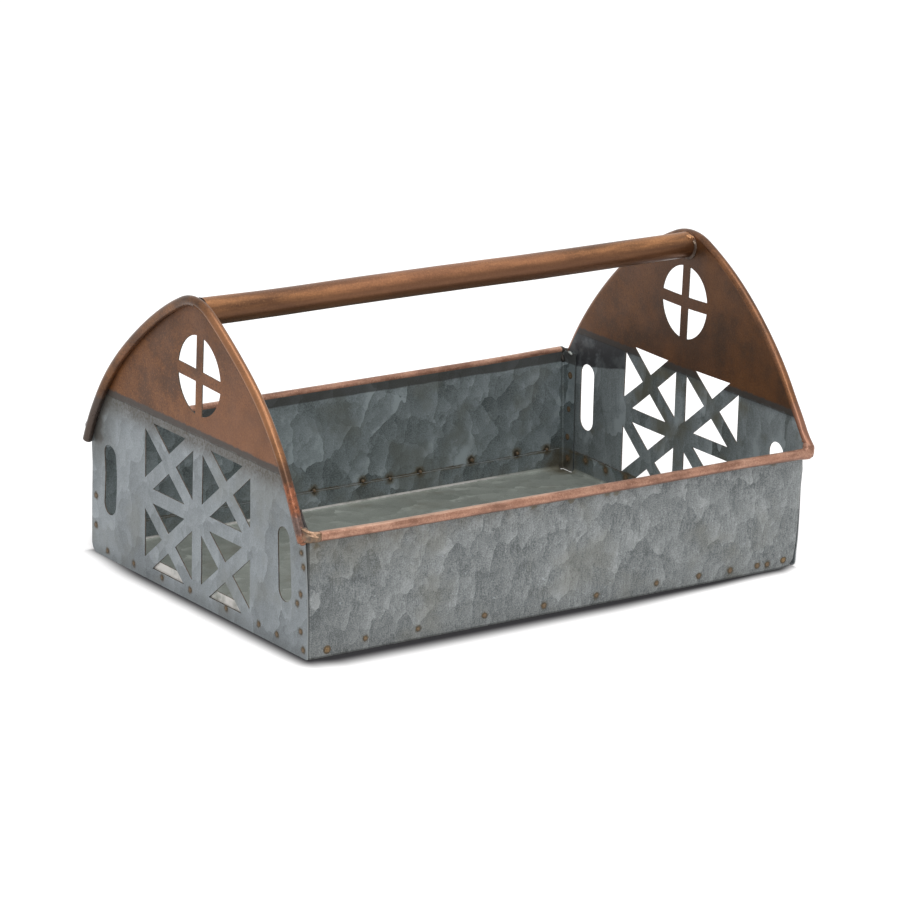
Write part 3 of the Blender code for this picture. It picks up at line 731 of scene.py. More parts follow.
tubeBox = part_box("handle_tube")
tubeMiddle = (tubeBox[0] + tubeBox[1]) / 2
wallLevel = 124.7 * mm        # where the long walls' spot welds are placed

finishes = {look: plainMetal(*row) for look, row in plainLooks.items()}
finishes.update({
    "edge": edgeMetal("cutSteelEdge"),
    "rim": rimMetal("rimCopper", (0.5, 1, 1), True),
    "elbow": rimMetal("elbowCopper", (1, 1, 1), False),
    "leftArch": archMetal("leftArchCopper", "arch", True),
    "rightArch": archMetal("rightArchCopper", "farArch", False),
    "tube": tubeMetal("tubeCopper"),
    "weld": brazeMetal("brazeMetal"),
    "tubeWeld": ringMetal("tubeWeld"),
    "frontOut": zincSheet("frontZinc", "front", spotsOn("front", -wallLevel, True),
                          dirt=spotsOn("rimDirt", -wallLevel - 2.6 * mm, True)),
    "backOut": zincSheet("backOuterZinc", "front", spotsOn("front", wallLevel, True)),
    "backIn": zincSheet("backInnerZinc", "back", spotsOn("back", wallLevel, True), True),
    "frontIn": zincSheet("frontInnerZinc", "back", spotsOn("back", -wallLevel, True), True),
    "floor": floorSheet("floorZinc"),
})
for name, row, level, alongLength in (("longFlange", "back", wallLevel, True),
                                      ("endFlange", "inside", boxEnd, False)):
    places = spotsOn(row, -level, alongLength) + spotsOn(row, level, alongLength)
    finishes[name] = zincSheet(name + "Zinc", "back", places, True)
for side, end in (("left", -1), ("right", 1)):
    finishes[side + "Out"] = panelSheet(side + "PanelOuter", "outside",
                                        spotsOn("end", end * panelOutside, False))
    finishes[side + "In"] = panelSheet(side + "PanelInner", "inside",
                                       spotsOn("inside", end * panelInside, False)
                                       + spotsOn("flange", end * boxEnd, False))
print("finishes made:", len(finishes))


# Making pieces

def newPiece(name, bm, looks, nodes, modifiers=(), sharp=35, settle=True):
    # modifiers are (kind, settings) pairs, applied before the edges are marked.
    mesh = bpy.data.meshes.new(name)
    bm.to_mesh(mesh)
    bm.free()
    for look in looks:
        mesh.materials.append(finishes[look])
    piece = bpy.data.objects.new(name, mesh)
    bpy.context.scene.collection.objects.link(piece)
    for kind, settings in modifiers:
        modifier = piece.modifiers.new(kind.lower(), kind)
        for setting, value in settings.items():
            setattr(modifier, setting, value)
    ready = piece.evaluated_get(bpy.context.evaluated_depsgraph_get())
    piece.data = bpy.data.meshes.new_from_object(ready)
    piece.modifiers.clear()
    for vert in piece.data.vertices:
        if settle:
            vert.co = settled(vert.co)
        vert.co.z = max(vert.co.z, 0)
    piece.data.shade_smooth()
    piece.data.set_sharp_from_angle(angle=math.radians(sharp))
    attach(piece, "root")
    if nodes:
        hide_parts(*nodes)


def thick(thickness, offset=0):
    # Sheet materials come in threes: outside, inside and cut edge.
    return [("SOLIDIFY", {"thickness": thickness, "offset": offset, "use_even_offset": True,
                          "use_quality_normals": True, "material_offset": 1,
                          "material_offset_rim": 2})]


def faceTowards(bm, probe, direction):
    # Turns the whole sheet so that the face nearest the probe faces the given way.
    bmesh.ops.recalc_face_normals(bm, faces=bm.faces)
    face = min(bm.faces, key=lambda f: (f.calc_center_median() - probe).length)
    face.normal_update()
    if face.normal.dot(direction) < 0:
        bmesh.ops.reverse_faces(bm, faces=bm.faces)


def wave(point, seed):
    return noise.noise(point / sheet["waveLength"] + Vector((seed, 0, -seed))) * sheet["wave"]


def picked(parts, kind):
    return [part for part in parts if isinstance(part, kind)]


def cut(bm, place, way, near=0):
    geom = bm.verts[:] + bm.edges[:] + bm.faces[:]
    bmesh.ops.bisect_plane(bm, geom=geom, dist=near, plane_co=place, plane_no=way)


def lastEdges(result):
    return picked(result["geom_last"], bmesh.types.BMEdge)


def extruded(bm, edges, move=None):
    # Pulls edges out into a band of faces, and gives its far vertices, far edges and faces.
    new = bmesh.ops.extrude_edge_only(bm, edges=edges)["geom"]
    verts = picked(new, bmesh.types.BMVert)
    if move:
        bmesh.ops.translate(bm, verts=verts, vec=move)
    fresh = set(verts)
    edges = [edge for edge in picked(new, bmesh.types.BMEdge) if fresh.issuperset(edge.verts)]
    return verts, edges, picked(new, bmesh.types.BMFace)


# Floor pan

def makeFloorPan():
    low = panBox[0]
    half = sheet["thickness"] / 2
    flatX, flatY = panFlat.x, panFlat.y
    bm = bmesh.new()
    place = Matrix.LocRotScale((0, 0, low.z + half), None, (flatX, flatY, 1))
    bmesh.ops.create_grid(bm, x_segments=pan["grid"][0], y_segments=pan["grid"][1], size=1,
                          matrix=place)
    radius = pan["bend"] - half
    reliefX = flatX - pan["relief"]
    reliefY = halfWidth - pan["flangeGap"]
    for axis, level, stop in (((1, 0, 0), flatX, reliefY), ((0, 1, 0), flatY, reliefX)):
        axis = Vector(axis)
        side = Vector((axis.y, axis.x, 0))
        for way in (-1, 1):
            cut(bm, side * stop * way, side, half / 100)
        for way in (-1, 1):
            edges = [e for e in bm.edges if e.is_boundary
                     and all(abs(v.co.dot(axis) - way * level) < half / 4 for v in e.verts)
                     and all(abs(v.co.dot(side)) < stop + half / 4 for v in e.verts)]
            centre = axis * way * level + up * (low.z + half + radius)
            turn = way * axis.cross(up)
            before = set(bm.faces)
            spun = bmesh.ops.spin(bm, geom=edges, cent=centre, axis=turn, angle=math.pi / 2,
                                  steps=pan["bendSteps"])
            extruded(bm, lastEdges(spun), up * (pan["flangeTop"] - low.z - half - radius))
            for face in set(bm.faces) - before:
                if face.calc_center_median().z > low.z + pan["bend"]:
                    face.material_index = 6 if axis.x else 3
    faceTowards(bm, Vector((0, 0, 0)), -up)
    for vert in bm.verts:
        edge = max(abs(vert.co.x) / flatX, abs(vert.co.y) / flatY)
        if edge < pan["waveEnd"]:
            vert.co.z += abs(wave(vert.co, 3)) * (1 - edge)
    looks = ["floor", "floor", "edge", "floor", "longFlange", "edge", "floor", "endFlange", "edge"]
    newPiece("floorPan", bm, looks, ["floor_pan"], thick(sheet["thickness"]))


# Long walls with their rolled rims

wallShape = {
    "foot": 124.65 * mm,      # middle of the sheet at the bottom
    "height": 76.9 * mm,
    "lean": 2.5 * mm,
    "bend": 2 * mm,
    "flange": 12 * mm,
    "flangeDrop": 4.2 * mm,
    "capRise": 1.5 * mm,
    "weldCap": 1.5 * mm,      # the rim stops this far inside the panels at a brazed corner
    "backLift": 3 * mm,       # the back wall came out this much higher than the front one
    "rounded": {"front": (0, 2.6 * mm), "back": (3 * mm, 0)},  # lower corners, left and right
    "roundedRise": 9 * mm,
    "roundedPower": 2.2,
    "dent": 12 * mm,
    "flangeRise": 2.2 * mm,   # how far the back flanges reach above the wall's top
    "backDrop": 1 * mm,
    "rimOut": 0.8 * mm,       # how far the front rim passes the arch's middle at the elbow
    "grid": (48, 12),
    "cuts": (0.4, 1, 2, 3.5, 5),  # in mm, close together at the rounded foot
    "bendSteps": 8,
    "waveFoot": 20 * mm,
    "wavePower": 6,
}
wallUp = Vector((0, wallShape["lean"], wallShape["height"])).normalized()
wallOut = Vector((0, wallUp.z, -wallUp.y))
rimMiddle = Vector((0, wallShape["foot"] + wallShape["lean"], wallShape["height"]))
rimMiddle = rimMiddle + wallOut * rollMiddle
rimStop = boxEnd - wallShape["weldCap"]


def rimCentre(side):
    lift = wallShape["backLift"] if side > 0 else 0
    return Vector((0, side * rimMiddle.y, rimMiddle.z + lift))


def makeWall(name, side, rimLeft, rimRight, looks, node):
    bendX = boxEnd - wallShape["bend"]
    bend = wallShape["bend"] - sheet["thickness"] / 2
    centre = rimCentre(side)
    height = wallShape["height"] + centre.z - rimMiddle.z
    flangeUp = height - wallShape["flangeDrop" if side < 0 else "backDrop"]
    rounded = wallShape["rounded"]["front" if side < 0 else "back"]
    foot = Vector((0, side * wallShape["foot"], 0))
    half = height / 2
    bm = bmesh.new()
    place = Matrix.Translation(foot + up * half) @ Matrix.Rotation(math.pi / 2, 4, "X")
    across, upwards = wallShape["grid"]
    bmesh.ops.create_grid(bm, x_segments=across, y_segments=upwards, size=1,
                          matrix=place @ Matrix.Diagonal((bendX, half, 1, 1)))
    for level in (*wallShape["cuts"], flangeUp / mm):
        cut(bm, up * level * mm, up)
    tiny = sheet["thickness"] / 8
    flangeEnd = halfWidth - wallShape["flange"]
    for way in (-1, 1):
        edges = [e for e in bm.edges if e.is_boundary
                 and all(abs(v.co.x - way * bendX) < tiny for v in e.verts)
                 and all(v.co.z < flangeUp + tiny for v in e.verts)]
        pivot = Vector((way * bendX, side * (wallShape["foot"] - bend), 0))
        spun = bmesh.ops.spin(bm, geom=edges, cent=pivot, axis=-way * side * up,
                              angle=math.pi / 2, steps=wallShape["bendSteps"])
        for vert in extruded(bm, lastEdges(spun))[0]:
            vert.co.y = side * flangeEnd
    raised = {v: min(1, (wallShape["foot"] - abs(v.co.y)) / wallShape["bend"]) for v in bm.verts
              if side > 0 and height - tiny > v.co.z > flangeUp - tiny}
    for vert in bm.verts:
        if abs(vert.co.y) > flangeEnd + tiny:
            vert.co.y += side * wallShape["lean"] * vert.co.z / height
        if vert.co.z < wallShape["roundedRise"]:
            pull = rounded[0 if vert.co.x < 0 else 1]
            pull *= (1 - vert.co.z / wallShape["roundedRise"]) ** wallShape["roundedPower"]
            pull *= max(0, 1 - (boxEnd - abs(vert.co.x)) / wallShape["dent"])
            vert.co.x -= math.copysign(pull, vert.co.x)
            deep = max(0, 1 - (wallShape["foot"] - abs(vert.co.y)) / (wallShape["flange"] / 2))
            vert.co.y -= side * pull * deep
    top = [v for v in bm.verts if v.co.z > height - tiny]
    for limit, way in ((rimLeft, -1), (rimRight, 1)):
        corner = max(top, key=lambda v: way * v.co.x)
        new = bmesh.ops.extrude_vert_indiv(bm, verts=[corner])["verts"]
        bmesh.ops.translate(bm, verts=new, vec=alongX * (limit - corner.co.x))
    edges = [e for e in bm.edges if all(v.co.z > height - tiny for v in e.verts)]
    before = set(bm.faces)
    bmesh.ops.spin(bm, geom=edges, cent=centre, axis=-side * alongX,
                   angle=math.radians(roll["turn"]), steps=roll["steps"])
    for face in set(bm.faces) - before:
        face.material_index = 3
    for vert, share in raised.items():
        vert.co.z += wallShape["flangeRise"] * share
    for vert in bm.verts:
        free = max(0, 1 - (abs(vert.co.x) / bendX) ** wallShape["wavePower"])
        free *= min(1, vert.co.z / wallShape["waveFoot"])
        if abs(vert.co.x) < bendX and vert.co.z < height - tiny:
            vert.co.y += free * wave(vert.co, 5 + side) * (1 - vert.co.z / height)
    faceTowards(bm, foot + up * half, Vector((0, side, 0)))
    newPiece(name, bm, looks, [node], thick(sheet["thickness"]))


# End panels

gable = {
    "corners": {-1: (1.2 * mm, 6.5 * mm), 1: (3.5 * mm, 1.2 * mm)},  # by end, front and back
    "cornerSteps": 8,
    "eave": 73.3 * mm,        # height of the rolled edge's end
    "eaveOut": 1.2 * mm,
    "archRadius": 225 * mm,
    "peakRadius": 38 * mm,
    "footRise": 30 * mm,      # over this height the right foot spreads to the front rim
    "archSteps": 40,
    "peakSteps": 12,
    "shadeTurn": 206,         # degrees of the front roll beyond which it is dull
    "grid": 11 * mm,          # the flat sheet is cut this fine, for its waves
    "waveWidth": 112 * mm,    # they end here, above this foot and below the peak's room
    "waveFoot": 20 * mm,
    "waveRoom": 40 * mm,
}
door = {
    "width": 121.4 * mm, "sill": 8.3 * mm, "height": 93.1 * mm, "post": 10.8 * mm,
    "rail": 9.2 * mm, "brace": 9.8 * mm, "lift": 1 * mm,
}
window = {"radius": 24.6 * mm, "height": 144.1 * mm, "mullion": 7.4 * mm, "steps": 18}
slot = {"inset": 24.6 * mm, "width": 14.4 * mm, "bottom": 29.6 * mm, "length": 46.5 * mm,
        "steps": 16}

peakCentre = Vector((0, peakHeight - gable["peakRadius"]))
footHeight = rimMiddle.z + roll["radius"] + sheet["seam"]


def findArchCentre():
    # Centre of the back half's arc: it passes the eave and touches the peak's circle.
    eave = Vector((halfWidth + gable["eaveOut"], gable["eave"]))
    way = peakCentre - eave
    inner = gable["archRadius"] - gable["peakRadius"]
    ahead = (gable["archRadius"] ** 2 - inner ** 2 + way.length_squared) / (2 * way.length)
    aside = math.sqrt(gable["archRadius"] ** 2 - ahead ** 2)
    way.normalize()
    return eave + way * ahead + Vector((-way.y, way.x)) * aside


archCentre = findArchCentre()
archJoin = math.atan2(peakCentre.y - archCentre.y, peakCentre.x - archCentre.x)
footSpread = rimMiddle.y - archCentre.x - math.sqrt(
    gable["archRadius"] ** 2 - (footHeight - archCentre.y) ** 2)


def halfArch(endHeight, spread):
    start = math.asin((endHeight - archCentre.y) / gable["archRadius"])
    points = []
    for step in range(gable["archSteps"] + 1):
        angle = start + (archJoin - start) * step / gable["archSteps"]
        point = archCentre + Vector((math.cos(angle), math.sin(angle))) * gable["archRadius"]
        below = max(0, footHeight + gable["footRise"] - point.y) / gable["footRise"]
        point.x += spread * below ** 2
        points.append(point)
    for step in range(1, gable["peakSteps"] + 1):
        angle = archJoin + (math.pi / 2 - archJoin) * step / gable["peakSteps"]
        way = Vector((math.cos(angle), math.sin(angle)))
        points.append(peakCentre + way * gable["peakRadius"])
    return points


def archLine(frontHeight, spread):
    # (y, z) points of the whole arch, from the front to the back.
    front = [Vector((-point.x, point.y)) for point in halfArch(frontHeight, spread)]
    return front + halfArch(gable["eave"], 0)[-2::-1]


def outwards(points):
    # Each point's way square to the line, away from the panel.
    ways = []
    for number in range(len(points)):
        before, after = points[max(number - 1, 0)], points[min(number + 1, len(points) - 1)]
        way = (after - before).normalized()
        ways.append(Vector((-way.y, way.x)))
    return ways


def braceHoles(lowY, highY, lowZ, highZ):
    halfY, halfZ = (highY - lowY) / 2, (highZ - lowZ) / 2
    midY, midZ = (lowY + highY) / 2, (lowZ + highZ) / 2
    slope = (halfZ + door["lift"]) / halfY
    armZ = door["brace"] / 2 * math.hypot(1, slope)
    armY, tipZ, tipY = armZ / slope, slope * halfY - armZ, (halfZ - armZ) / slope
    return [
        [(lowY, midZ - tipZ), (lowY, midZ + tipZ), (midY - armY, midZ)],
        [(highY, midZ + tipZ), (highY, midZ - tipZ), (midY + armY, midZ)],
        [(midY - tipY, highZ), (midY + tipY, highZ), (midY, midZ + armZ)],
        [(midY + tipY, lowZ), (midY - tipY, lowZ), (midY, midZ - armZ)],
    ]


def arc(centre, radius, start, stop, steps):
    angles = [start + (stop - start) * step / steps for step in range(steps + 1)]
    return [(centre[0] + radius * math.cos(a), centre[1] + radius * math.sin(a)) for a in angles]


def panelHoles():
    post, rail, wide = door["post"] / 2, door["rail"] / 2, door["width"] / 2
    middle, top = door["sill"] + door["height"] / 2, door["sill"] + door["height"]
    holes = []
    for lowY, highY in ((-wide, -post), (post, wide)):
        holes += braceHoles(lowY, highY, door["sill"], middle - rail)
        holes += braceHoles(lowY, highY, middle + rail, top)
    half = window["mullion"] / 2
    first = math.asin(half / window["radius"])
    for quarter in range(4):
        start = quarter * math.pi / 2
        y = half * (1 if quarter in (0, 3) else -1)
        z = half * (1 if quarter in (0, 1) else -1)
        holes.append([(y, window["height"] + z)] + arc(
            (0, window["height"]), window["radius"], start + first,
            start + math.pi / 2 - first, window["steps"]))
    radius = slot["width"] / 2
    for side in (-1, 1):
        y = side * (halfWidth - slot["inset"])
        high, low = slot["bottom"] + slot["length"] - radius, slot["bottom"] + radius
        holes.append(arc((y, high), radius, 0, math.pi, slot["steps"])
                     + arc((y, low), radius, math.pi, 2 * math.pi, slot["steps"]))
    return holes


def ring(bm, x, points):
    verts = [bm.verts.new((x, y, z)) for y, z in points]
    return [bm.edges.new(pair) for pair in zip(verts, verts[1:] + verts[:1])]


def panelSide(edgeEnd, corners):
    side = math.copysign(1, edgeEnd.x)
    corner, half = corners[0 if side < 0 else 1], halfWidth
    turn = arc((side * (half - corner), corner), corner, -math.pi / 2,
               0 if side > 0 else -math.pi, gable["cornerSteps"])
    ear = abs(edgeEnd.x) - half
    return turn + [(side * half, edgeEnd.y - ear)]


def makePanel(name, end, frontHeight, spread, looks, node):
    line = archLine(frontHeight, spread)
    ways = outwards(line)
    x = end * panelMiddle
    bm = bmesh.new()
    corners = gable["corners"][end]
    outline = (panelSide(line[0], corners) + [tuple(point) for point in line]
               + panelSide(line[-1], corners)[::-1])
    edges = ring(bm, x, outline)
    for hole in panelHoles():
        edges += ring(bm, x, hole)
    bmesh.ops.triangle_fill(bm, use_beauty=True, edges=edges)
    steps = int(halfWidth / gable["grid"])
    for step in range(-steps, 2 * steps):
        for plane in ((0, 1, 0), (0, 0, 1)):
            cut(bm, Vector(plane) * gable["grid"] * step, plane, sheet["thickness"] / 100)
    for vert in bm.verts:
        inner = min(1, max(0, 1 - abs(vert.co.y) / gable["waveWidth"]) * 4)
        rise = min(1, max(0, vert.co.z / gable["waveFoot"] - 1))
        room = min(1, max(0, (peakHeight - vert.co.z) / gable["waveRoom"]))
        vert.co.x += end * abs(wave(vert.co, end)) * inner * rise * room
    tiny = sheet["thickness"] / 6

    def wayAt(vert):
        point = Vector((vert.co.y, vert.co.z))
        return ways[min(range(len(line)), key=lambda number: (point - line[number]).length)]

    def onArch(vert):
        point = Vector((vert.co.y, vert.co.z))
        for a, b in zip(line, line[1:]):
            if min(a.y, b.y) - tiny <= point.y <= max(a.y, b.y) + tiny:
                if min(a.x, b.x) - tiny <= point.x <= max(a.x, b.x) + tiny:
                    side = (b - a).normalized()
                    if abs(side.x * (point.y - a.y) - side.y * (point.x - a.x)) < tiny / 4:
                        return True
        return False

    rim = [e for e in bm.edges if e.is_boundary and all(onArch(v) for v in e.verts)]
    starts = {v: (v.co.copy(), wayAt(v)) for e in rim for v in e.verts}
    for step in range(1, roll["steps"] + 1):
        angle = math.radians(roll["turn"]) * step / roll["steps"]
        ahead, aside = rollMiddle * math.sin(angle), rollMiddle * (1 - math.cos(angle))
        verts, rim, faces = extruded(bm, rim)
        fresh = set(verts)
        under = angle > math.radians(gable["shadeTurn"])
        for face in faces:
            face.material_index = 6 if under and face.calc_center_median().y < 0 else 3
        after = {}
        for vert, (start, way) in starts.items():
            partner = next(v for v in (e.other_vert(vert) for e in vert.link_edges) if v in fresh)
            partner.co = start + Vector((end * aside, way.x * ahead, way.y * ahead))
            after[partner] = (start, way)
        starts = after
    faceTowards(bm, Vector((x, 0.1 * mm, 115 * mm)), Vector((end, 0, 0)))
    newPiece(name, bm, looks, [node], thick(sheet["thickness"]))


# Wires in the rolled edges, with the caps that close them

def makeWire(name, points, capStart, capEnd, node):
    # points run along the wire's centre. A cap is the radius of the dome on that end.
    bm = bmesh.new()
    way = (points[1] - points[0]).normalized()
    turn = up.rotation_difference(way).to_matrix().to_4x4()
    stations = [(point, roll["wire"]) for point in points]

    def domed(tip, ahead, radius):
        rise = wallShape["capRise"]
        places = [(tip + ahead * sheet["seam"], radius)]
        for step in range(1, roll["domeSteps"]):
            angle = math.pi / 2 * step / roll["domeSteps"]
            places.append((tip + ahead * (sheet["seam"] + rise * math.sin(angle)),
                           radius * math.cos(angle)))
        return places

    if capEnd:
        stations += domed(points[-1], (points[-1] - points[-2]).normalized(), capEnd)
    if capStart:
        cap = domed(points[0], (points[0] - points[1]).normalized(), capStart)
        stations = cap[::-1] + stations
    place, radius = stations[0]
    bmesh.ops.create_circle(bm, cap_ends=True, segments=roll["wireSegments"], radius=radius,
                            matrix=Matrix.Translation(place) @ turn)
    edges = bm.edges[:]
    for target, wide in stations[1:]:
        verts, edges = extruded(bm, edges)[:2]
        bmesh.ops.scale(bm, vec=(wide / radius,) * 3, space=Matrix.Translation(-place),
                        verts=verts)
        bmesh.ops.translate(bm, vec=target - place, verts=verts)
        radius, place = wide, target
    bmesh.ops.contextual_create(bm, geom=edges)
    bmesh.ops.recalc_face_normals(bm, faces=bm.faces)
    look = name.replace("Wire", "") if "arch" in node else "rim"
    newPiece(name, bm, [look], [node])


# Handle

handle = {"radius": 8.5 * mm, "wall": 1.2 * mm, "wobble": 0.12 * mm, "wobbleSize": 26 * mm,
          "segments": 64, "rings": 48, "trueEnd": 12 * mm}


def makeHandle():
    low, high = tubeBox
    centre = tubeMiddle
    bm = bmesh.new()
    turn = Matrix.Rotation(math.pi / 2, 4, "Y")
    bmesh.ops.create_cone(bm, cap_ends=False, segments=handle["segments"],
                          radius1=handle["radius"], radius2=handle["radius"],
                          depth=high.x - low.x, matrix=Matrix.Translation(centre) @ turn)
    for step in range(1, handle["rings"]):
        cut(bm, alongX * (low.x + (high.x - low.x) * step / handle["rings"]), alongX)
    for vert in bm.verts:
        inner = min(1, (high.x - abs(vert.co.x)) / handle["trueEnd"])
        spoke = vert.co - Vector((vert.co.x, centre.y, centre.z))
        lump = noise.noise(vert.co / handle["wobbleSize"]) * handle["wobble"]
        vert.co += spoke.normalized() * (lump - handle["wobble"]) * inner
    faceTowards(bm, centre + up * handle["radius"], up)
    # the tube's inside is painted shade
    newPiece("handleTube", bm, ["tube", "creaseShade", "edge"], ["handle_tube"],
             thick(handle["wall"], -1))


# Brazed corners and tube ends

tubeRing = {
    "share": {-1: 0.3, 1: 0.9},       # how much of the CAD ring's leg shows at each end
    "inner": 0.97, "toe": 0.985,      # radii, as shares of the tube's
    "shoulder": (0.6, 0.75), "reach": 1.25,   # along and out from the tube, as shares of the leg
    "fuller": 1 * mm, "fullWay": Vector((0, 0.8, 0.6)), "steps": 72,
    "lump": 0.14 * mm, "lumpSize": 2.2 * mm,
}
backCorner = {
    "inset": 0.6, "sink": 0.2, "plugs": 2, "plugFall": 0.06,      # the plug in the rim, in mm
    "runInset": 1.4, "runIn": 0.7, "run": (2, 3, 4, 5, 6), "runRadius": 2.1, "runFall": 0.12,
}
blob = {"ball": 3, "voxel": 0.4 * mm, "smooth": {"iterations": 4, "factor": 0.6}}


def makeHandleWeld(name, end, node):
    low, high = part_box(node)
    centre = (low + high) / 2
    seat = handle["radius"]
    leg = (high.z - centre.z - seat) * tubeRing["share"][end]
    tip = end * boxEnd
    along, out = tubeRing["shoulder"]
    bm = bmesh.new()
    profile = [(tip, seat * tubeRing["inner"]), (tip, seat + leg),
               (tip - end * leg * along, seat + leg * out),
               (tip - end * leg * tubeRing["reach"], seat * tubeRing["toe"])]
    verts = [bm.verts.new((x, centre.y, centre.z + radius)) for x, radius in profile]
    edges = [bm.edges.new(pair) for pair in zip(verts, verts[1:] + verts[:1])]
    bmesh.ops.spin(bm, geom=verts + edges, cent=(0, centre.y, centre.z), axis=alongX,
                   angle=2 * math.pi, steps=tubeRing["steps"], use_merge=True)
    bmesh.ops.recalc_face_normals(bm, faces=bm.faces)
    bm.normal_update()
    for vert in bm.verts:
        # The ring is thin over the tube's top and fuller in front and below.
        spoke = (vert.co - centre) * Vector((0, 1, 1))
        full = max(0, -spoke.normalized().dot(tubeRing["fullWay"]))
        if end > 0 and spoke.length > seat:
            vert.co += spoke.normalized() * tubeRing["fuller"] * full
    for vert in bm.verts:
        lump = noise.noise(vert.co / tubeRing["lumpSize"] + alongX * 4)
        vert.co += vert.normal * lump * tubeRing["lump"]
    newPiece(name, bm, ["tubeWeld"], [node])


def makeBlob(name, beads, node, look="weld"):
    # Weld metal as beads of (place, radius) melted into one lump.
    bm = bmesh.new()
    for place, radius in beads:
        bmesh.ops.create_icosphere(bm, subdivisions=blob["ball"], radius=radius,
                                   matrix=Matrix.Translation(place))
    newPiece(name, bm, [look], [node] if node else [],
             [("REMESH", {"mode": "VOXEL", "voxel_size": blob["voxel"]}),
              ("SMOOTH", blob["smooth"])])


def makeBackCorner(name, end, node):
    # The rim's end sits in a lump, from which metal runs down the corner.
    rim = rimCentre(1)
    beads = []
    for step in range(backCorner["plugs"]):
        x = boxEnd - (backCorner["inset"] + step) * mm
        wide = roll["radius"] + (backCorner["sink"] - backCorner["plugFall"] * step) * mm
        beads.append((Vector((end * x, rim.y, rim.z - backCorner["sink"] * mm)), wide))
    if end > 0:
        beads += strung("bridge", 4)
    for drop in backCorner["run"]:
        x = boxEnd - backCorner["runInset"] * mm
        place = Vector((end * x, rim.y - drop * backCorner["runIn"] * mm, rim.z - drop * mm))
        beads.append((place, (backCorner["runRadius"] - backCorner["runFall"] * drop) * mm))
    makeBlob(name, beads, node, "oldWeld")


# Beads as (place, radius) in mm. The dab and the drop are placed from the tube's middle line.

brazed = {
    "lump": [((-185.1, -123.4, 74.4), 2.7), ((-185.3, -126, 75.6), 2.9),
             ((-184.8, -128.6, 76.8), 3.2), ((-182.6, -129.9, 76.9), 3.4),
             ((-179.6, -129.9, 76.8), 3.45), ((-177.4, -129.9, 76.8), 3.25),
             ((-175, -129.9, 76.8), 2.7)],
    "web": [((-184.6, -125.4, 80), 2.3), ((-184.6, -127.4, 78.4), 2.7),
            ((-183.6, -129, 77.6), 3.1)],
    "upperRidge": [((-186.6, -126.4, 81.6), 0.6), ((-185.9, -128.4, 81.2), 0.8),
                   ((-184.9, -130.3, 80.7), 0.9), ((-183.4, -131.5, 80.1), 0.95),
                   ((-180.9, -131.8, 79.7), 0.9), ((-178.2, -131.8, 79.6), 0.7)],
    "lowerRidge": [((-185.2, -132.6, 79.2), 0.5), ((-183.6, -133, 78.6), 0.7),
                   ((-181.6, -133, 78), 0.65), ((-180, -133, 77.6), 0.5)],
    # a black sliver standing in for the shade between the arch's leg and the wall
    "shadeSliver": [((-181.9, -117.2, 90.6), 0.6), ((-181.9, -118.7, 87), 0.8),
             ((-181.8, -120.2, 84.2), 0.95), ((-181.7, -121.8, 81.6), 1.05),
             ((-181.6, -123.4, 79), 1.1), ((-181.6, -124.4, 77.4), 1.1)],
    "bridge": [((182, 130.9, 80.2), 2.2), ((184.7, 129.6, 80), 1.6), ((187, 128, 79.7), 1.6)],
    "elbow": [((178.5, -129.9, 76.7), 3.15), ((181.5, -130, 76.6), 3.4),
              ((184.2, -130.2, 76.7), 3.6), ((185.6, -130.1, 77.9), 3.6),
              ((185.5, -129.4, 80), 3.45)],
    "dab": [((181.9, -5.4, 6), 1.25), ((179.9, -6.2, 6), 1.25), ((179.3, -4.8, 6.7), 1.25),
            ((181, -4.4, 6.8), 1.25), ((182.1, -6.4, 5.6), 1.25)],
    "drop": [((182.6, -8.6, 2.6), 0.95), ((181.8, -8.2, 3.6), 0.8)],
    # a light bead for the flange's bare top end and its painted highlight
    "bareGlint": [((182.1, 117.4, 80), 1), ((182.1, 119, 80.6), 1.1), ((182.1, 120.4, 80.9), 0.9)],
}
elbowRadii = (3.35, 3.25, 3.15, 2.9)  # in mm, up the arch's first points
elbowSink = 0.3 * mm


def strung(row, between=5):
    # Beads placed evenly between the ones of a row.
    beads = []
    for (start, wide), (stop, narrow) in zip(brazed[row], brazed[row][1:]):
        for step in range(between):
            share = step / between
            beads.append((Vector(start).lerp(Vector(stop), share) * mm,
                          (wide + (narrow - wide) * share) * mm))
    last, radius = brazed[row][-1]
    return beads + [(Vector(last) * mm, radius * mm)]


def makeNearCorner():
    # Arch tip and rim melted into one lump, with two brass ridges, and a black sliver inside that
    # stands in for the shade between the arch's leg and the wall.
    makeBlob("frontLeftCornerWeld", strung("lump") + strung("web"), "front_left_corner_weld")
    makeBlob("brassRidges", strung("upperRidge", 6) + strung("lowerRidge", 6), None, "brass")
    makeBlob("nearCornerShadeSliver", strung("shadeSliver", 8), None, "shadeSliver")


def makeElbow():
    # The front rim turns up into the right arch.
    beads = strung("elbow")
    for point, radius in zip(archLine(footHeight, footSpread), elbowRadii):
        beads.append((Vector((beadMiddle, *point)) - up * elbowSink, radius * mm))
    makeBlob("frontRightCornerWeld", beads, "front_right_corner_weld", "elbow")


def makeLooseBeads():
    # A copper dab and a bright drop at the tube's right end, and at the back corner a light bead
    # for the flange's bare top end and its painted highlight.
    axis = Vector((0, tubeMiddle.y, tubeMiddle.z))
    for name, row, shift, look in (("copperDab", "dab", axis, "copperSpot"),
                                   ("brightDrop", "drop", axis, "bead"),
                                   ("bareMetalGlint", "bareGlint", Vector(), "bareGlint")):
        beads = [(Vector(place) * mm + shift, radius * mm) for place, radius in brazed[row]]
        makeBlob(name, beads, None, look)


# Spot welds: low round domes pressed up from the sheets

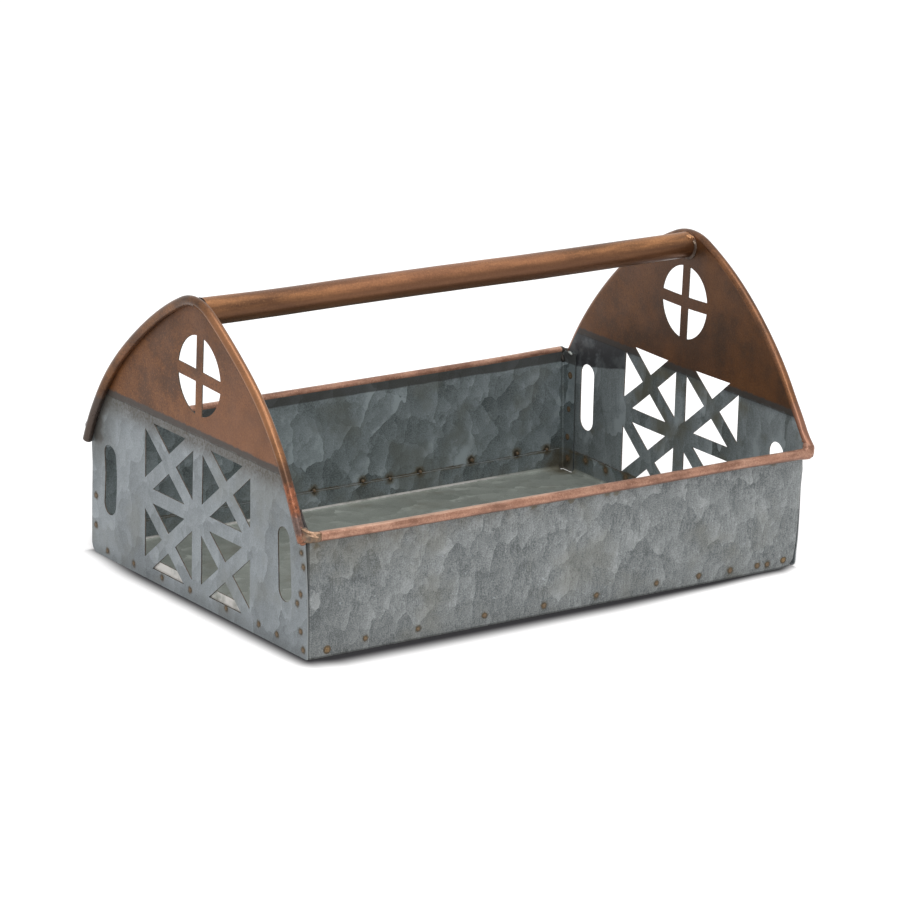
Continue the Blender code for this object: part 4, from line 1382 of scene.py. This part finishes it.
dome = {
    "outside": (1.8 * mm, 0.3 * mm),  # radius and height
    "inside": (1.3 * mm, 1.1 * mm),
    "flat": (2.3 * mm, 0.3 * mm),
    "ring": 0.6,                      # the dark ring begins at this share of the radius
    "varied": 0.25, "variedSize": 1 / 90,
    "segments": 18, "rings": 10,
    "level": 125.2 * mm, "innerLevel": 124 * mm,   # of the long walls' outside and inside
}


def makeSpots(name, groups):
    # groups are (places, way out of the sheet, radius, height).
    bm = bmesh.new()
    for places, way, radius, height in groups:
        turn = way.to_track_quat("Z", "Y").to_matrix().to_4x4()
        for place, size in places:
            varied = dome["varied"] * noise.noise(place / dome["variedSize"])
            wide = radius * size * (1 + varied)
            stretch = Matrix.Diagonal((wide, wide, height, 1))
            made = bmesh.ops.create_uvsphere(
                bm, u_segments=dome["segments"], v_segments=dome["rings"], radius=1,
                matrix=Matrix.Translation(place) @ turn @ stretch)
            for face in {face for vert in made["verts"] for face in vert.link_faces}:
                off = face.calc_center_median() - place
                outer = (off - way * off.dot(way)).length > wide * dome["ring"]
                face.material_index = 1 if outer else 0 if size > 1 else 2
    newPiece(name, bm, ["spot", "spotRing", "darkSpot"], [], settle=False)


def sized(row, level, alongLength):
    sizes = [spot[2] if len(spot) > 2 else 1 for spot in spots[row]]
    return list(zip(spotsOn(row, level, alongLength), sizes))


def makeAllSpots():
    outside, flat = dome["outside"], dome["flat"]
    flange = boxEnd - sheet["thickness"]
    within = []
    for side in (-1, 1):
        way = Vector((0, side, 0))
        makeSpots("frontWallSpots" if side < 0 else "backWallSpots",
                  [(sized("front", side * dome["level"], True), way, *outside)])
        makeSpots("leftPanelSpots" if side < 0 else "rightPanelSpots",
                  [(sized("end", side * panelOutside, False), alongX * side, *outside)])
        within.append((sized("back", side * dome["innerLevel"], True), -way, *dome["inside"]))
        within.append((sized("inside", side * flange, False), alongX * -side, *flat))
        within.append((sized("flange", side * flange, False), alongX * -side, *flat))
    makeSpots("insideSpots", within)


print("sheets")
makeFloorPan()
# the rolls' hidden inner side and edge are painted shade
rolledRim = ["creaseShade", "rim", "creaseShade"]
for name, side, stop in (("front", -1, beadMiddle + wallShape["rimOut"]), ("back", 1, rimStop)):
    makeWall(name + "Wall", side, -rimStop, stop,
             [name + "Out", name + "In", "flangeEdge", *rolledRim], name + "_wall")
for name, end, height, spread in (("left", -1, gable["eave"], 0),
                                  ("right", 1, footHeight, footSpread)):
    # the rolls' hidden inner side and edges are painted shade
    rolledArch = ["creaseShade", name + "Arch", "creaseShade", "creaseShade", "rollUnder", "creaseShade"]
    makePanel(name + "EndPanel", end, height, spread,
              [name + "Out", name + "In", "edge", *rolledArch], name + "_end_panel")

print("wires, handle and welds")
for name, side, stop in (("front", -1, beadMiddle), ("back", 1, rimStop)):
    rim = rimCentre(side)
    makeWire(name + "RimWire", [rim - alongX * rimStop, rim + alongX * stop], 0, 0,
             name + "_rim_wire")
for name, end, height, spread in (("left", -1, gable["eave"], 0),
                                  ("right", 1, footHeight + roll["wire"], footSpread)):
    line = [Vector((end * beadMiddle, *point)) for point in archLine(height, spread)]
    makeWire(name + "ArchWire", line, roll["wire"] if end < 0 else 0, roll["wire"],
             name + "_arch_wire")
makeHandle()
for name, end in (("left", -1), ("right", 1)):
    makeHandleWeld(name + "HandleWeld", end, name + "_handle_weld")
makeLooseBeads()
for name, end in (("Left", -1), ("Right", 1)):
    makeBackCorner("back" + name + "CornerWeld", end, "back_" + name.lower() + "_corner_weld")
makeNearCorner()
makeElbow()
makeAllSpots()


# Stage: white floor, soft studio light and the photograph's camera

stage = {
    "cameraPlace": (-1.7059, -2.44335, 0.94775),
    "cameraTurn": (73.604, -1.486, -34.524),
    "lens": 197.69,
    "world": 0.8,
    "key": 20, "keyPlace": (-1.3, -1.6, 2.0), "keySize": 1.2,
    "top": 20, "topPlace": (0.05, -0.6, 2.3), "topSize": 1.6,
    "floor": (0.9, 0.89, 0.89, 1), "floorGlow": 0.25,
    "floorSize": 6, "floorDrop": 0.2 * mm,
    "shade": (0.045, 0.044, 0.047, 1),
}
footShade = {                 # the narrow dark shade along the tray's foot, in mm
    "frontLine": 124.8, "backLine": 125, "endLine": 182.9,
    "front": 27, "back": 10, "left": 20, "right": 6, "full": 0.16,
    "frontLess": [(-120, 30, 3), (20, 130, 9)],       # the front's reach shrinks to the right
    "fadeAcross": [(110, 160, 0.2), (168, 186, 0.4), (-165, -186, 0.17)],
    "fadeBack": (60, 125, 0.3),
}


def addCamera():
    data = bpy.data.cameras.new("photoCamera")
    data.lens = stage["lens"]
    data.sensor_width = 36
    data.clip_start = 0.1
    camera = bpy.data.objects.new("photoCamera", data)
    camera.location = stage["cameraPlace"]
    camera.rotation_euler = [math.radians(angle) for angle in stage["cameraTurn"]]
    bpy.context.scene.collection.objects.link(camera)
    bpy.context.scene.camera = camera


def addLamp(name, place, size, power):
    data = bpy.data.lights.new(name, "AREA")
    data.shape = "DISK"
    data.size = size
    data.energy = power
    lamp = bpy.data.objects.new(name, data)
    lamp.location = place
    lamp.rotation_euler = (-Vector(place)).to_track_quat("-Z", "Y").to_euler()
    bpy.context.scene.collection.objects.link(lamp)


def seenDirectly(paint):
    # 1 for rays that show the white surroundings, 0 for those that only carry light.
    seen = paint.add("ShaderNodeLightPath", {}, {}, "Is Camera Ray")
    return (seen + paint.other(seen, "Is Glossy Ray")
            + paint.other(seen, "Is Transmission Ray")).least(1)


def addWorld():
    world = bpy.data.worlds.new("studio")
    bpy.context.scene.world = world
    paint = Paint("studio", world)
    light = stage["world"] + (1 - stage["world"]) * seenDirectly(paint)
    paint.show(paint.add("ShaderNodeBackground", {}, {"Color": (1, 1, 1, 1), "Strength": light}))


def addFloor():
    # White where it lies open, darker in the narrow shade along the tray's foot.
    bm = bmesh.new()
    bmesh.ops.create_grid(bm, x_segments=1, y_segments=1, size=stage["floorSize"],
                          matrix=Matrix.Translation(-up * stage["floorDrop"]))
    mesh = bpy.data.meshes.new("studioFloor")
    bm.to_mesh(mesh)
    bm.free()
    floor = bpy.data.objects.new("studioFloor", mesh)
    bpy.context.scene.collection.objects.link(floor)
    paint = Paint("studioFloor")
    for socket, value in (("Base Color", stage["floor"]), ("Roughness", 1),
                          ("Specular IOR Level", 0)):
        paint.shader.inputs[socket].default_value = value
    glow = paint.add("ShaderNodeEmission", {}, {"Strength": stage["floorGlow"]})
    plain = Sum(paint, paint.shader.outputs[0])
    lit = paint.add("ShaderNodeAddShader", {}, {0: plain, 1: glow})
    seen = paint.add("ShaderNodeMixShader", {}, {0: seenDirectly(paint), 1: plain, 2: lit})
    x, y = paint.along("X"), paint.along("Y")
    reach = footShade["front"]
    for start, stop, less in footShade["frontLess"]:
        reach = reach - x.rise(start, stop, less)
    front = (-footShade["frontLine"] - y).most(0) / reach
    behind = (y - footShade["backLine"]).most(0) / footShade["back"]
    left = (-footShade["endLine"] - x).most(0) / footShade["left"]
    right = (x - footShade["endLine"]).most(0) / footShade["right"]
    across, along = front.most(behind), left.most(right)
    away = paint.maths("SQRT", across * across + along * along)
    for row in footShade["fadeAcross"]:
        away = away + x.rise(*row)
    away = away + y.rise(*footShade["fadeBack"])
    rays = paint.add("ShaderNodeLightPath", {}, {}, "Is Camera Ray")
    clear = 1 - rays * away.rise(1, footShade["full"])
    shade = paint.add("ShaderNodeBsdfDiffuse", {}, {"Color": stage["shade"]})
    paint.show(paint.add("ShaderNodeMixShader", {}, {0: clear, 1: shade, 2: seen}))
    mesh.materials.append(paint.owner)


addCamera()
for lamp in ("key", "top"):
    addLamp(lamp + "Lamp", stage[lamp + "Place"], stage[lamp + "Size"], stage[lamp])
addWorld()
addFloor()
bpy.context.scene.view_settings.view_transform = "Standard"
print("stage set")
